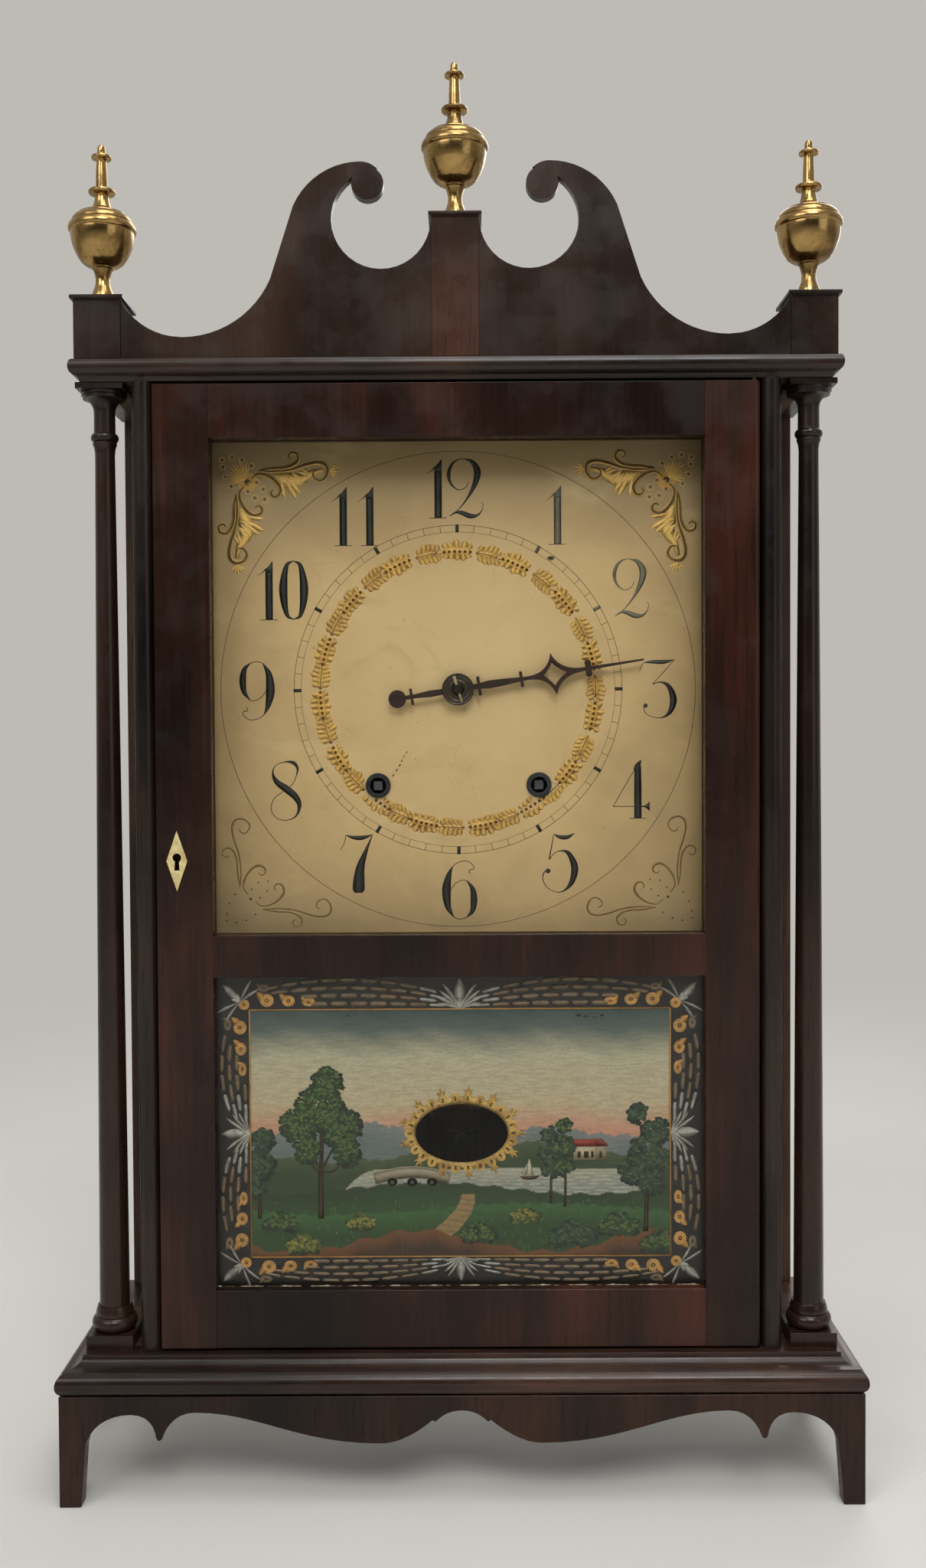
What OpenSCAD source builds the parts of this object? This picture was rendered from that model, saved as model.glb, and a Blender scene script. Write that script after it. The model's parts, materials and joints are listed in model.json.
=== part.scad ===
// Shelf clock with a scroll crest, three brass urn finials, two turned
// columns, a glazed door over a painted dial and a picture tablet, and a
// weight driven wooden movement with an hour strike.
// Millimetres. X runs to the right, Y to the back, Z up from the shelf.

/* [Base] */
// How far the skirt boards stand out past the case at each side
skirt_side_out = 41.5; // [38:0.5:46]
// Front face of the skirt, forward of the middle of the case
skirt_front = 61; // [59:1:66]
// Back face of the whole case, behind its middle
case_back = 62.8; // [58:0.1:70]
// Height of the skirt boards
skirt_h = 60.7; // [58:0.1:70]
// Thickness of the skirt boards
skirt_t = 10; // [6:0.5:12]
// Width of a foot where it stands on the shelf
foot_w = 11.8; // [8:0.1:16]
// Height of the base moulding
base_mould_h = 18.8; // [17:0.1:24]
// How far the base moulding stands out past the skirt
base_mould_out = 1.8; // [0.5:0.1:4]
// Set back of the flat top of the base from the skirt face
base_top_back = 10.7; // [6:0.1:12]
// Thickness of the base board
base_board_t = 12; // [6:0.5:14]

/* [Case] */
// Height between the base and the cornice
case_h = 532.8; // [528:0.1:560]
// Half width over the case sides
case_half_w = 177.5; // [172:0.5:179]
// Thickness of the side boards, and the width of their front beads
side_t = 11; // [8:0.5:12]
// Door face, forward of the middle of the case
door_front = 46; // [45:0.5:47]
// How far the backboard stands out past the case at each side
back_side_out = 26.5; // [14:0.5:28]
// Thickness of the backboard
back_t = 8; // [5:0.5:12]

/* [Cornice] */
// Height of the cornice
cornice_h = 11.7; // [11:0.1:16]
// How far the cornice stands out past the case at each side
cornice_side_out = 32.9; // [32:0.1:36]
// How far the cornice stands out past the door face
cornice_out = 3.3; // [1:0.1:5]

/* [Crest] */
// How far the plinths of the crest stand out past the case at each side
crest_side_out = 30; // [28:0.1:31]
// Height of the scrolls above the cornice
crest_h = 105.2; // [103:0.1:108]
// Thickness of the crest board
crest_t = 7; // [4:0.5:10]
// Width of the three plinths
plinth_w = 25.6; // [23:0.1:26.5]
// Height of the side plinths with their caps
side_plinth_h = 34.2; // [33:0.1:40]
// Height of the centre plinth with its cap
centre_plinth_h = 77.7; // [76:0.1:82]
// Width of a cap
cap_w = 29; // [27:0.1:32]
// Depth of a cap
cap_d = 34; // [30:0.5:38]
// Thickness of a cap
cap_t = 2.1; // [1:0.1:4]
// Height of an urn finial
finial_h = 86.2; // [80:0.1:95]
// Radius of the urn at its rim
finial_r = 18.6; // [16:0.1:20]

/* [Columns] */
// Distance of a column's middle from the case side
column_out = 17.5; // [16.5:0.5:18.5]
// Shaft radius at the top
shaft_top_r = 5.4; // [4:0.1:6]
// Shaft radius at the bottom
shaft_bottom_r = 8.3; // [7:0.1:9]
// Width of the column plinth and of its top block
column_block_w = 25.8; // [24:0.1:27]

/* [Door] */
// Gap between the door and the case at each side
door_side_gap = 1; // [0.6:0.1:1.5]
// Gap under the door
door_bottom_gap = 1.5; // [0.8:0.1:3]
// Gap over the door
door_top_gap = 1.9; // [0.8:0.1:3]
// Thickness of the door
door_t = 16; // [15:0.5:17]
// Width of the door stiles
stile_w = 30.4; // [28:0.1:34]
// Height of the top rail
top_rail_h = 29.5; // [26:0.1:34]
// Height of the middle rail
mid_rail_h = 23.2; // [20:0.1:28]
// Height of the bottom rail
bottom_rail_h = 32; // [28:0.1:36]
// Height of the tablet opening
tablet_h = 173.2; // [165:0.1:180]
// Rabbet round the glass
rabbet = 5.8; // [4:0.1:8]
// Thickness of the glass
glass_t = 2; // [1:0.1:3]
// Radius of the hinge pins
hinge_pin_r = 1.5; // [1:0.1:2]
// Distance of the hinge axis from the door's edge and face
hinge_inset = 3; // [2.8:0.1:3.4]
// Height of the keyhole plate's middle above the base
escutcheon_up = 271.1; // [250:1:290]
// Height of the keyhole plate
escutcheon_h = 33.2; // [28:0.1:36]
// Width of the keyhole plate
escutcheon_w = 11.5; // [10:0.1:14]

/* [Dial and hands] */
// Drop of the dial's middle below the middle of its opening
dial_drop = 0.65; // [0:0.05:2]
// How far the dial board reaches past its opening, above and below
dial_lap = 14; // [8:0.5:16]
// Room between the dial board and each case side
dial_side_gap = 6.5; // [3:0.5:12]
// Thickness of the dial board
dial_t = 4.5; // [3:0.1:6]
// Depth from the door face to the dial face
dial_back = 26; // [25:0.5:26.5]
// Distance of each winding hole from the middle
wind_x = 45.4; // [44:0.1:47]
// Drop of the winding holes below the dial's middle
wind_drop = 53.8; // [52:0.1:56]
// Outer radius of a winding hole's lining
grommet_r = 7.1; // [6.5:0.1:9]
// Inner radius of a winding hole's lining
grommet_bore_r = 4.5; // [4.3:0.1:5]
// Length of the minute hand
minute_hand_l = 105.4; // [95:0.1:112]
// Length of the hour hand
hour_hand_l = 84; // [76:0.5:90]
// Distance from the middle to the end of the minute hand's tail
hand_tail = 39.4; // [36:0.1:42]
// Distances of the two bars across each hand
hand_bars = [12, 36.1]; // [8:0.1:38]
// Where the diamond of each hand starts
diamond_start = 45.4; // [44:0.1:47]
// Where the diamond is widest
diamond_mid = 54.3; // [53.5:0.1:55.5]
// Where the diamond ends
diamond_end = 64.3; // [62:0.1:66]
// Half the diamond's height on the minute hand
diamond_reach = 11.8; // [10:0.1:13]
// Angle of the hands above three o'clock
hand_rest_angle = 8.8; // [0:0.1:30]

/* [Movement] */
// Room between the wooden plates and the middle of a weight
plate_weight_gap = 22; // [20:0.5:26]
// Thickness of the plates
plate_t = 6; // [4:0.5:7]
// Room between the plates
plate_gap = 30; // [30:0.5:32]
// Radius of a cord drum
drum_r = 17; // [14:0.5:17.5]
// Radius of the cord
cord_r = 1.2; // [0.8:0.1:1.4]
// Teeth of the great wheels, the wheels they drive and the third wheel
wheel_teeth = 72; // [72]
// Leaves of the pinions on the centre and pin wheel arbors
first_leaves = 9; // [9]
// Leaves of the faster pinions
pinion_leaves = 8; // [8]
// Teeth of the escape wheel
escape_teeth = 38; // [30:1:42]
// Radius of the escape wheel
escape_r = 20; // [18:0.5:20.5]
// Height of the pendulum's pivot above the dial's middle
pivot_up = 96.5; // [96:0.5:98]
// Height of the bob's middle above the lower edge of the tablet
bob_up = 84.5; // [78:0.5:90]
// Radius of the pendulum bob
bob_r = 22; // [16:0.5:26]

/* [Weights and strike] */
// Distance of a weight's cord from the inside of the case
weight_side_gap = 26.5; // [24:0.5:29]
// Radius of a weight
weight_r = 18; // [14:0.5:19]
// Height of a weight
weight_h = 112; // [90:1:130]
// Height of a resting weight above the base
weight_up = 15.5; // [8:0.5:30]
// Radius of a pulley at its groove
pulley_r = 10; // [8:0.5:12]
// Radius of the bell
bell_r = 24; // [20:0.5:25]

/* [Hidden] */
$fn = 64;
// Running clearance of an arbor or pin in its hole
run_gap = 0.05;
// Clearance of a glued joint and of a piece let into another
fit_gap = 0.05;

// Heights
base_z = skirt_h + base_mould_h;
door_z = base_z + door_bottom_gap;
cornice_z = base_z + case_h;
crest_z = cornice_z + cornice_h;
side_cap_z = crest_z + side_plinth_h;
centre_cap_z = crest_z + centre_plinth_h;
crest_top_z = crest_z + crest_h;
door_top_z = cornice_z - door_top_gap;
tablet_z = door_z + bottom_rail_h;
tablet_top_z = tablet_z + tablet_h;
glass_z = tablet_top_z + mid_rail_h;
glass_top_z = door_top_z - top_rail_h;
dial_z = (glass_z + glass_top_z) / 2 - dial_drop;
dial_h = glass_top_z - glass_z + 2 * dial_lap;
pivot_z = dial_z + pivot_up;
bob_z = tablet_z + bob_up;

// Half widths
side_inner_x = case_half_w - side_t;
skirt_half_w = case_half_w + skirt_side_out;
back_half_w = case_half_w + back_side_out;
cornice_half_w = case_half_w + cornice_side_out;
crest_half_w = case_half_w + crest_side_out;
column_x = case_half_w + column_out;
dial_half_w = side_inner_x - dial_side_gap;
weight_x = side_inner_x - weight_side_gap;
plate_half_w = weight_x - plate_weight_gap;

// Depths, where minus is towards the front
door_y = -door_front;
door_back_y = door_y + door_t;
backboard_y = case_back - back_t;
side_front_y = door_y + side_t / 2;
dial_y = door_y + dial_back;
dial_back_y = dial_y + dial_t;
plate_front_y = dial_back_y + 12.5;
plate_inner_y = plate_front_y + plate_t;
plate_back_y = plate_inner_y + plate_gap;
plate_end_y = plate_back_y + plate_t;
column_y = door_y + 15.5;

// Moulded frames of the base and the cornice
frame_run = 3 * case_half_w;
base_ring_w = 24.8;
base_inner_x = skirt_half_w + base_mould_out - base_ring_w;
base_inner_y = -(skirt_front + base_mould_out - base_ring_w);
cornice_ring_w = 14.4;
cornice_inner_x = cornice_half_w - cornice_ring_w;
cornice_inner_y = -(door_front + cornice_out - cornice_ring_w);

// Door
door_half_w = side_inner_x - door_side_gap;
open_half_w = door_half_w - stile_w;
lip_t = 7;
glass_y = door_y + lip_t;
stop_t = 3.5;
hinge_x = door_half_w - hinge_inset;
hinge_y = door_y + hinge_inset;
hinge_grip = 8;
pin_in_door = 7;
tenon_l = 12;
tenon_t = 4.6;
tenon_y = door_y + 1.2;
escutcheon_x = -(door_half_w - 11.1);
escutcheon_z = base_z + escutcheon_up;
escutcheon_t = 1.2;
lock_w = 17;
lock_h = 33;
lock_d = 8;
bolt_h = 10;
bolt_t = 3;
bolt_throw = 4;
lock_x = -door_half_w + 2;
bolt_y = door_back_y - 3.5;

// Arbors of the movement, as [x, z]
centre_p = [0, dial_z];
time_p = [wind_x, dial_z - wind_drop];
strike_p = [-wind_x, dial_z - wind_drop];
first_dist = norm(centre_p - time_p);
first_module = 2 * first_dist / (wheel_teeth + first_leaves);
third_dist = 44;
third_module = 2 * third_dist / (wheel_teeth + pinion_leaves);
third_angle = 60;
third_p = centre_p + third_dist * [cos(third_angle), sin(third_angle)];
fast_dist = 40;
fast_module = 2 * fast_dist / (wheel_teeth + pinion_leaves);
escape_p = [0, third_p[1] + sqrt(fast_dist * fast_dist - third_p[0] * third_p[0])];
escape_angle = atan2(escape_p[1] - third_p[1], escape_p[0] - third_p[0]);
pivot_p = [0, pivot_z];
pin_angle = 110;
pin_p = strike_p + first_dist * [cos(pin_angle), sin(pin_angle)];
fly_angle = 100;
fly_p = pin_p + fast_dist * [cos(fly_angle), sin(fly_angle)];
count_teeth = 78;
count_module = 0.7;
count_dist = count_module * (count_teeth + pinion_leaves) / 2;
count_p = pin_p - [0, count_dist];
motion_dist = 24;
cannon_leaves = 12;
minute_teeth = 36;
minute_leaves = 10;
hour_teeth = 40;
cannon_module = 2 * motion_dist / (cannon_leaves + minute_teeth);
hour_module = 2 * motion_dist / (minute_leaves + hour_teeth);
minute_p = centre_p + [motion_dist, 0];
hammer_p = [-30, dial_z + 41.5];
lever_p = [-34, dial_z + 21.5];
plate_bottom_z = dial_z - 108.5;
plate_top_z = dial_z + 115.5;
pillar_spots = [for (side = [-1, 1], p = [[plate_half_w - 8, plate_bottom_z + 9],
  [plate_half_w - 30, plate_top_z - 10]]) [side * p[0], p[1]]];

// Layers of the wheels between the plates, from the front plate back
great_y = plate_inner_y + 3;
great_t = 4;
centre_wheel_y = plate_inner_y + 10.5;
pin_wheel_y = plate_inner_y + 14;
third_wheel_y = plate_inner_y + 17;
strike_great_y = plate_back_y - 7;
escape_y = plate_back_y - 6;
wheel_t = 3;
arbor_r = 2.5;
pivot_r = 1.5;
wind_arbor_r = 3.6;
centre_r = 3.5;
flange_r = drum_r + 5;
drum_gap = 0.3;
time_drum_y = great_y + great_t + drum_gap;
time_drum_end = plate_back_y - 3;
strike_drum_y = plate_inner_y + 3;
strike_drum_end = strike_great_y - drum_gap;

// Hands, from the dial face forward
hour_hand_y = dial_y - 3.4;
minute_hand_y = dial_y - 5.6;
hand_t = 1;
pipe_r = 5.4;
hub_r = 8.6;

// Pendulum and its hanging, behind the back plate
crutch_y = plate_end_y + 1.6;
crutch_t = 2.4;
rod_y = plate_end_y + 7;
rod_r = 1.2;
cock_y = plate_end_y + 10.5;
cock_t = 3;

// Weights, pulleys and cords
cord_gap = 0.3;
time_cord_y = plate_inner_y + 17;
strike_cord_y = plate_inner_y + 9;
pulley_out_r = pulley_r + 3;
pulley_w = 6.5;
pulley_cord_r = pulley_r + cord_r + cord_gap;
drum_cord_r = drum_r + cord_r + cord_gap;
pulley_x = weight_x - pulley_cord_r;
pulley_z = cornice_z + cornice_h / 2;
slot_end_gap = 4;
slot_side_gap = 0.5;
axle_r = 1.5;
axle_l = 16;
weight_z = base_z + weight_up;
weight_hook_h = 9;
run_vec = [pulley_x - wind_x, pulley_z - time_p[1]];
run_sum = drum_cord_r + pulley_cord_r;
run_angle = atan2(run_vec[1], run_vec[0]) + asin(run_sum / norm(run_vec));
run_l = sqrt(run_vec[0] * run_vec[0] + run_vec[1] * run_vec[1] - run_sum * run_sum);

// Points along a cubic curve from a to d with the handles b and c
function bezier(a, b, c, d, steps) =
  [for (i = [1:steps]) let (t = i / steps, s = 1 - t)
    s * s * s * a + 3 * s * s * t * b + 3 * s * t * t * c + t * t * t * d];

// Points along an arc about c, from angle a0 to a1
function arc(c, r, a0, a1, steps) =
  [for (i = [0:steps]) let (a = a0 + (a1 - a0) * i / steps) c + r * [cos(a), sin(a)]];

function flip(points) = [for (i = [len(points) - 1:-1:0]) [-points[i][0], points[i][1]]];

// A flat shape drawn in X and Z, given thickness from y0 back to y1
module slab(y0, y1) {
  translate([0, y1, 0]) rotate([90, 0, 0]) linear_extrude(y1 - y0) children();
}

module box(x0, x1, y0, y1, z0, z1) {
  translate([x0, y0, z0]) cube([x1 - x0, y1 - y0, z1 - z0]);
}

module both_sides() {
  children();
  mirror([1, 0, 0]) children();
}

// A round bar along Y at the spot p, which is [x, z]
module rod_y(p, r, y0, y1) {
  translate([p[0], y1, p[1]]) rotate([90, 0, 0]) cylinder(h = y1 - y0, r = r);
}

// A board with a mitred moulding round its front and sides. The profile
// holds [distance out, height], from the inner face at x, y to ring_w out.
module moulded_frame(profile, inner_x, inner_y, ring_w, back_y, z0) {
  run = frame_run;
  intersection() {
    translate([0, inner_y, z0]) rotate([90, 0, 90])
      linear_extrude(run, center = true) polygon([for (p = profile) [-p[0], p[1]]]);
    linear_extrude(4 * run, center = true)
      polygon([[-inner_x, inner_y], [-inner_x - run, inner_y - run],
        [inner_x + run, inner_y - run], [inner_x, inner_y]]);
  }
  both_sides() intersection() {
    translate([inner_x, back_y, z0]) rotate([90, 0, 0])
      linear_extrude(run) polygon(profile);
    linear_extrude(4 * run, center = true)
      polygon([[inner_x, inner_y], [inner_x + run, inner_y - run],
        [inner_x + run, back_y], [inner_x, back_y]]);
  }
}

// Base

base_profile = let (top_w = base_ring_w - base_mould_out - base_top_back,
    torus_r = 5.9, torus_x = base_ring_w - torus_r * 0.62, edge = base_mould_h - 1.2)
  concat([[0, base_mould_h], [0, 0], [torus_x - 1, 0]],
    [for (i = [1:11]) let (a = -90 + 15 * i)
      [torus_x - 1 + (torus_r * 0.62 + 1) * cos(a), torus_r + torus_r * sin(a)]],
    [[torus_x, 2 * torus_r], [torus_x, 2 * torus_r + 0.8]],
    [for (i = [1:6]) let (a = 90 * i / 6)
      [top_w + (torus_x - top_w) * (1 - sin(a)),
        2 * torus_r + 0.8 + (edge - 2 * torus_r - 0.8) * (1 - cos(a))]],
    [[top_w, base_mould_h]]);

module base_moulding() {
  color([0.2, 0.12, 0.1]) difference() {
    moulded_frame(base_profile, base_inner_x, base_inner_y, base_ring_w, case_back, skirt_h);
    translate([hinge_x, hinge_y, base_z - hinge_grip])
      cylinder(h = hinge_grip + 1, r = hinge_pin_r + fit_gap);
  }
}

module base_board() {
  color([0.3, 0.18, 0.12])
    box(-base_inner_x, base_inner_x, base_inner_y, case_back, base_z - base_board_t, base_z);
}

// Lower edge of half the front skirt, from the foot to the nick beside the middle arch, where across
// and rise set the curves of the real clock to the width and the arch
foot_in = skirt_half_w - foot_w;
arch_h = skirt_h - 10;
across = skirt_half_w / 219;
rise = arch_h / 50.7;
function spot(x, z) = [x * across, z * rise];
skirt_half = concat([[-foot_in, 0], [-foot_in + 2.3, 31.9 * rise]],
  bezier([-foot_in + 2.3, 31.9 * rise], [-foot_in + 4, 44 * rise], spot(-192, 50.7), spot(-180, 50.7), 8),
  bezier(spot(-180, 50.7), spot(-170, 50.7), spot(-167, 44), spot(-166.1, 38), 6),
  bezier(spot(-166.1, 38), spot(-165.8, 35.8), spot(-164, 35.8), spot(-163, 37.3), 3),
  bezier(spot(-163, 37.3), spot(-160, 46), spot(-154, 51.8), spot(-145, 51.8), 6),
  bezier(spot(-145, 51.8), spot(-110, 51.8), spot(-90, 34.5), spot(-43.4, 34.5), 12),
  bezier(spot(-43.4, 34.5), spot(-35, 34.5), spot(-25, 39.5), spot(-15.8, 47.2), 7),
  [spot(-14.4, 46.1)],
  bezier(spot(-14.4, 46.1), spot(-9.5, 51), spot(-5, 52.4), spot(0, 52.4), 7));

module front_skirt() {
  color([0.22, 0.12, 0.1]) slab(-skirt_front, -skirt_front + skirt_t)
    polygon(concat([[skirt_half_w, skirt_h], [-skirt_half_w, skirt_h], [-skirt_half_w, 0]],
      skirt_half, flip(skirt_half), [[skirt_half_w, 0]]));
}

// Half of a side skirt, from its foot to its middle
side_front_y_skirt = -skirt_front + skirt_t;
side_mid_y = (side_front_y_skirt + case_back) / 2;
side_half_l = case_back - side_mid_y;
side_half = concat([[-side_half_l, 0], [-side_half_l + 5, 0], [-side_half_l + 7, 28]],
  bezier([-side_half_l + 7, 28], [-side_half_l + 9, 42], [-side_half_l + 17, arch_h - 2],
    [-side_half_l + 26, arch_h - 2], 8),
  bezier([-side_half_l + 26, arch_h - 2], [-14, arch_h - 2], [-12, 40], [0, 40], 8));

module side_skirts() {
  color([0.22, 0.12, 0.1]) both_sides()
    translate([skirt_half_w - skirt_t, side_mid_y, 0]) rotate([90, 0, 90])
      linear_extrude(skirt_t)
        polygon(concat(side_half, flip(side_half), [[side_half_l, skirt_h], [-side_half_l, skirt_h]]));
}

// Three-cornered blocks in the corners under the base board
module glue_blocks() {
  block = 20;
  front_block_h = 9;
  rear_block_h = 20;
  inner_x = skirt_half_w - skirt_t;
  color([0.55, 0.4, 0.25]) both_sides() {
    translate([inner_x, side_front_y_skirt, skirt_h - front_block_h]) linear_extrude(front_block_h)
      polygon([[0, 0], [-block, 0], [0, block]]);
    box(inner_x - 12, inner_x, case_back - 30, case_back - 6, skirt_h - rear_block_h, skirt_h);
  }
}

// Case

module backboard() {
  color([0.3, 0.2, 0.14])
    box(-back_half_w, back_half_w, backboard_y, case_back, base_z, crest_z);
}

module side_board() {
  box(side_inner_x, case_half_w, side_front_y, backboard_y, base_z, cornice_z);
}

module side_right() {
  color([0.24, 0.14, 0.11]) side_board();
}

module side_left() {
  color([0.24, 0.14, 0.11]) difference() {
    mirror([1, 0, 0]) side_board();
    box(-side_inner_x - bolt_throw - 1.5, -side_inner_x + 1, bolt_y - bolt_t / 2 - 0.6,
      bolt_y + bolt_t / 2 + 0.6, escutcheon_z - bolt_h / 2 - 0.6, escutcheon_z + bolt_h / 2 + 0.6);
  }
}

module stile_beads() {
  color([0.2, 0.14, 0.12]) both_sides() intersection() {
    translate([side_inner_x + side_t / 2, side_front_y, base_z]) cylinder(h = case_h, r = side_t / 2);
    box(side_inner_x, case_half_w, door_y, side_front_y, base_z, cornice_z);
  }
}

// Slot and axle hole that hold a pulley in the top board
module pulley_cut(x, y) {
  half_l = pulley_out_r + slot_end_gap;
  half_w = pulley_w / 2 + slot_side_gap;
  box(x - half_l, x + half_l, y - half_w, y + half_w, cornice_z - 1, crest_z + 1);
  rod_y([x, pulley_z], axle_r + run_gap, y - axle_l / 2 - run_gap, y + axle_l / 2 + run_gap);
}

module top_board() {
  color([0.3, 0.18, 0.12]) difference() {
    box(-cornice_inner_x, cornice_inner_x, cornice_inner_y, backboard_y, cornice_z, crest_z);
    pulley_cut(pulley_x, time_cord_y);
    pulley_cut(-pulley_x, strike_cord_y);
  }
}

cornice_profile = let (nose = 4.1, low = cornice_h - 2 * nose)
  concat([[0, cornice_h], [0, 0], [cornice_ring_w - 5.2, 0]],
    [for (i = [1:4]) let (a = 90 * i / 4)
      [cornice_ring_w - 5.2 + 3 * (1 - cos(a)), low * 0.9 * sin(a)]],
    [[cornice_ring_w - 2.2, low]],
    [for (i = [1:9]) let (a = -90 + 18 * i)
      [cornice_ring_w - 2.2 + 2.2 * cos(a), low + nose + nose * sin(a)]],
    [[cornice_ring_w - 2.2, cornice_h]]);

module cornice_moulding() {
  color([0.2, 0.13, 0.11]) difference() {
    moulded_frame(cornice_profile, cornice_inner_x, cornice_inner_y, cornice_ring_w,
      backboard_y, cornice_z);
    translate([hinge_x, hinge_y, cornice_z - 1])
      cylinder(h = hinge_grip + 1, r = hinge_pin_r + fit_gap);
  }
}

// Columns

block_h = 7.5;
abacus_h = 3.2;
column_foot_z = base_z + block_h;
column_top_z = cornice_z - abacus_h;
torus_h = 8.6;
ring_h = 5.4;
shaft_z = column_foot_z + torus_h + ring_h;
astragal_z = column_top_z - 27;

module turned_column() {
  rotate_extrude() polygon(concat([[0, column_foot_z - 1], [3, column_foot_z - 1], [3, column_foot_z],
      [column_block_w / 2 - 4, column_foot_z]],
    [for (i = [0:10]) let (a = -90 + 18 * i)
      [column_block_w / 2 - 4 + 3.6 * cos(a), column_foot_z + torus_h / 2 * (1 + sin(a))]],
    [[column_block_w / 2 - 4.2, column_foot_z + torus_h]],
    [for (i = [0:5]) let (a = 15 * i)
      [shaft_bottom_r + 0.4 + 1.7 * cos(a), column_foot_z + torus_h + ring_h * i / 5]],
    [for (i = [0:12]) let (t = i / 12)
      [shaft_bottom_r + (shaft_top_r - shaft_bottom_r) * (t * 0.72 + t * t * 0.28),
        shaft_z + (astragal_z - 7 - shaft_z) * t]],
    [[shaft_top_r + 0.4, astragal_z - 3.5], [shaft_top_r + 1.3, astragal_z - 1]],
    [for (i = [0:6]) let (a = -90 + 30 * i)
      [shaft_top_r + 0.7 + 1.5 * cos(a), astragal_z + 2.2 + 2.2 * sin(a)]],
    [[shaft_top_r + 0.5, astragal_z + 4.6], [shaft_top_r + 0.4, astragal_z + 16]],
    [for (i = [1:5]) let (a = 90 * i / 5)
      [shaft_top_r + 0.4 + 5.2 * (1 - cos(a)), astragal_z + 16 + 7 * sin(a)]],
    [[column_block_w / 2 - 1.2, astragal_z + 23.2], [column_block_w / 2 - 1.2, astragal_z + 25],
      [column_block_w / 2 - 0.4, astragal_z + 25.2], [column_block_w / 2 - 0.4, column_top_z],
      [3, column_top_z], [3, column_top_z + 1], [0, column_top_z + 1]]));
}

module column(x) {
  half = column_block_w / 2;
  translate([x, column_y, 0]) {
    turned_column();
    translate([-half, -half, base_z]) cube([2 * half, 2 * half, block_h]);
    translate([-half, -half, column_top_z]) cube([2 * half, 2 * half, abacus_h]);
  }
}

module column_left() {
  color([0.17, 0.11, 0.1]) column(-column_x);
}

module column_right() {
  color([0.17, 0.11, 0.1]) column(column_x);
}

// Crest

crest_y = door_y - 0.3;
crest_back_y = crest_y + crest_t;
veneer_t = 0.8;
loop_r = 27;
loop_p = [plinth_w / 2 + loop_r + 0.4, crest_top_z - 30.7];
eye_r = 8.8;
eye_p = [loop_p[0] + 7.2, crest_top_z - 11.7];
eye_vec = eye_p - loop_p;
eye_dir = atan2(eye_vec[1], eye_vec[0]);
eye_half = acos((loop_r * loop_r + eye_vec * eye_vec - eye_r * eye_r) / (2 * loop_r * norm(eye_vec)));
function eye_angle(side) =
  let (a = eye_dir + side * eye_half, v = loop_r * [cos(a), sin(a)] - eye_vec) atan2(v[1], v[0]);
scroll_head = [loop_p[0] + 11, crest_top_z - 12.7];
scroll_r = 40.2;
scroll_p = [loop_p[0] + 11, crest_top_z - scroll_r];
hollow_r = 52.5;
hollow_x = (crest_half_w - plinth_w) - 33.5;
hollow_low_z = crest_z + 11.5;
hollow_p = [hollow_x, hollow_low_z + hollow_r];
rise_r = 38;
side_plinth_in = crest_half_w - plinth_w;
slope_angle = 24.4;

// Right half of the crest's outline: the centre, the loop under the scroll, the
// scroll's eye and head, its long slope, the hollow and the rise to the plinth
crest_right = concat([[plinth_w / 2, centre_cap_z - cap_t], [plinth_w / 2, loop_p[1]]],
  arc(loop_p, loop_r, 185, 360 + eye_dir - eye_half, 24),
  arc(eye_p, eye_r, eye_angle(-1), eye_angle(1) - 360, 24),
  arc(loop_p, loop_r, 360 + eye_dir + eye_half, 446, 2),
  arc(scroll_head, crest_top_z - scroll_head[1], 132, 95, 4),
  arc(scroll_p, scroll_r, 90, slope_angle, 10),
  arc(hollow_p, hollow_r, 180 + slope_angle, 270, 12),
  arc([hollow_x, hollow_low_z + rise_r], rise_r, -80, asin((side_plinth_in - hollow_x) / rise_r) - 90, 8),
  [[side_plinth_in, crest_z]]);

module crest_board() {
  color([0.23, 0.16, 0.14]) slab(crest_y, crest_back_y) polygon(concat(crest_right, flip(crest_right)));
}

cap_y0 = crest_y - veneer_t - 1.7;
cap_mid_y = cap_y0 + cap_d / 2;

module crest_plinths() {
  half = plinth_w / 2;
  block_y1 = cap_y0 + cap_d - 2;
  color([0.28, 0.13, 0.1]) {
    box(-half, half, crest_y - veneer_t, crest_y, crest_z, centre_cap_z - cap_t);
    box(-half, half, crest_back_y, block_y1, crest_z, centre_cap_z - cap_t);
    box(-cap_w / 2, cap_w / 2, cap_y0, cap_y0 + cap_d, centre_cap_z - cap_t, centre_cap_z);
    both_sides() {
      box(side_plinth_in, crest_half_w, crest_y - veneer_t, block_y1, crest_z, side_cap_z - cap_t);
      translate([side_plinth_in + half, 0, 0])
        box(-cap_w / 2, cap_w / 2, cap_y0, cap_y0 + cap_d, side_cap_z - cap_t, side_cap_z);
    }
  }
}

// Urn finial as [radius, height] at the real finial's size, set to finial_h and finial_r: foot and bowl,
// the rim's band between two grooves, the stepped lid, and the spire with its two rings
finial_bowl = [[0, 0], [6.4, 0], [6.4, 3], [6, 4.6], [5.3, 6.6], [4.5, 8.6], [4, 10.6], [3.9, 13], [4.3, 15],
  [4.9, 17], [5.4, 18.2], [6.1, 18.6], [6.1, 19.3], [7, 19.6], [9.2, 20.4], [11.4, 22], [13.3, 24.6],
  [14.9, 27.7], [16.2, 31], [17, 34.2], [17.4, 37.2], [17.3, 38.2]];
finial_band = [[18, 38.6], [18.5, 39.4], [18.6, 40.4], [18.2, 41.8], [17.4, 42.9], [16.2, 43.1]];
finial_lid = [[16.7, 43.7], [16.4, 44.9], [15.4, 46.3], [14.2, 47.2], [13.5, 47.4], [13.2, 48.2],
  [11.6, 48.9], [8.4, 49.9], [6.4, 50.6], [5.5, 51.6], [4.7, 53.8], [4.1, 56], [3.8, 58.2]];
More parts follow.
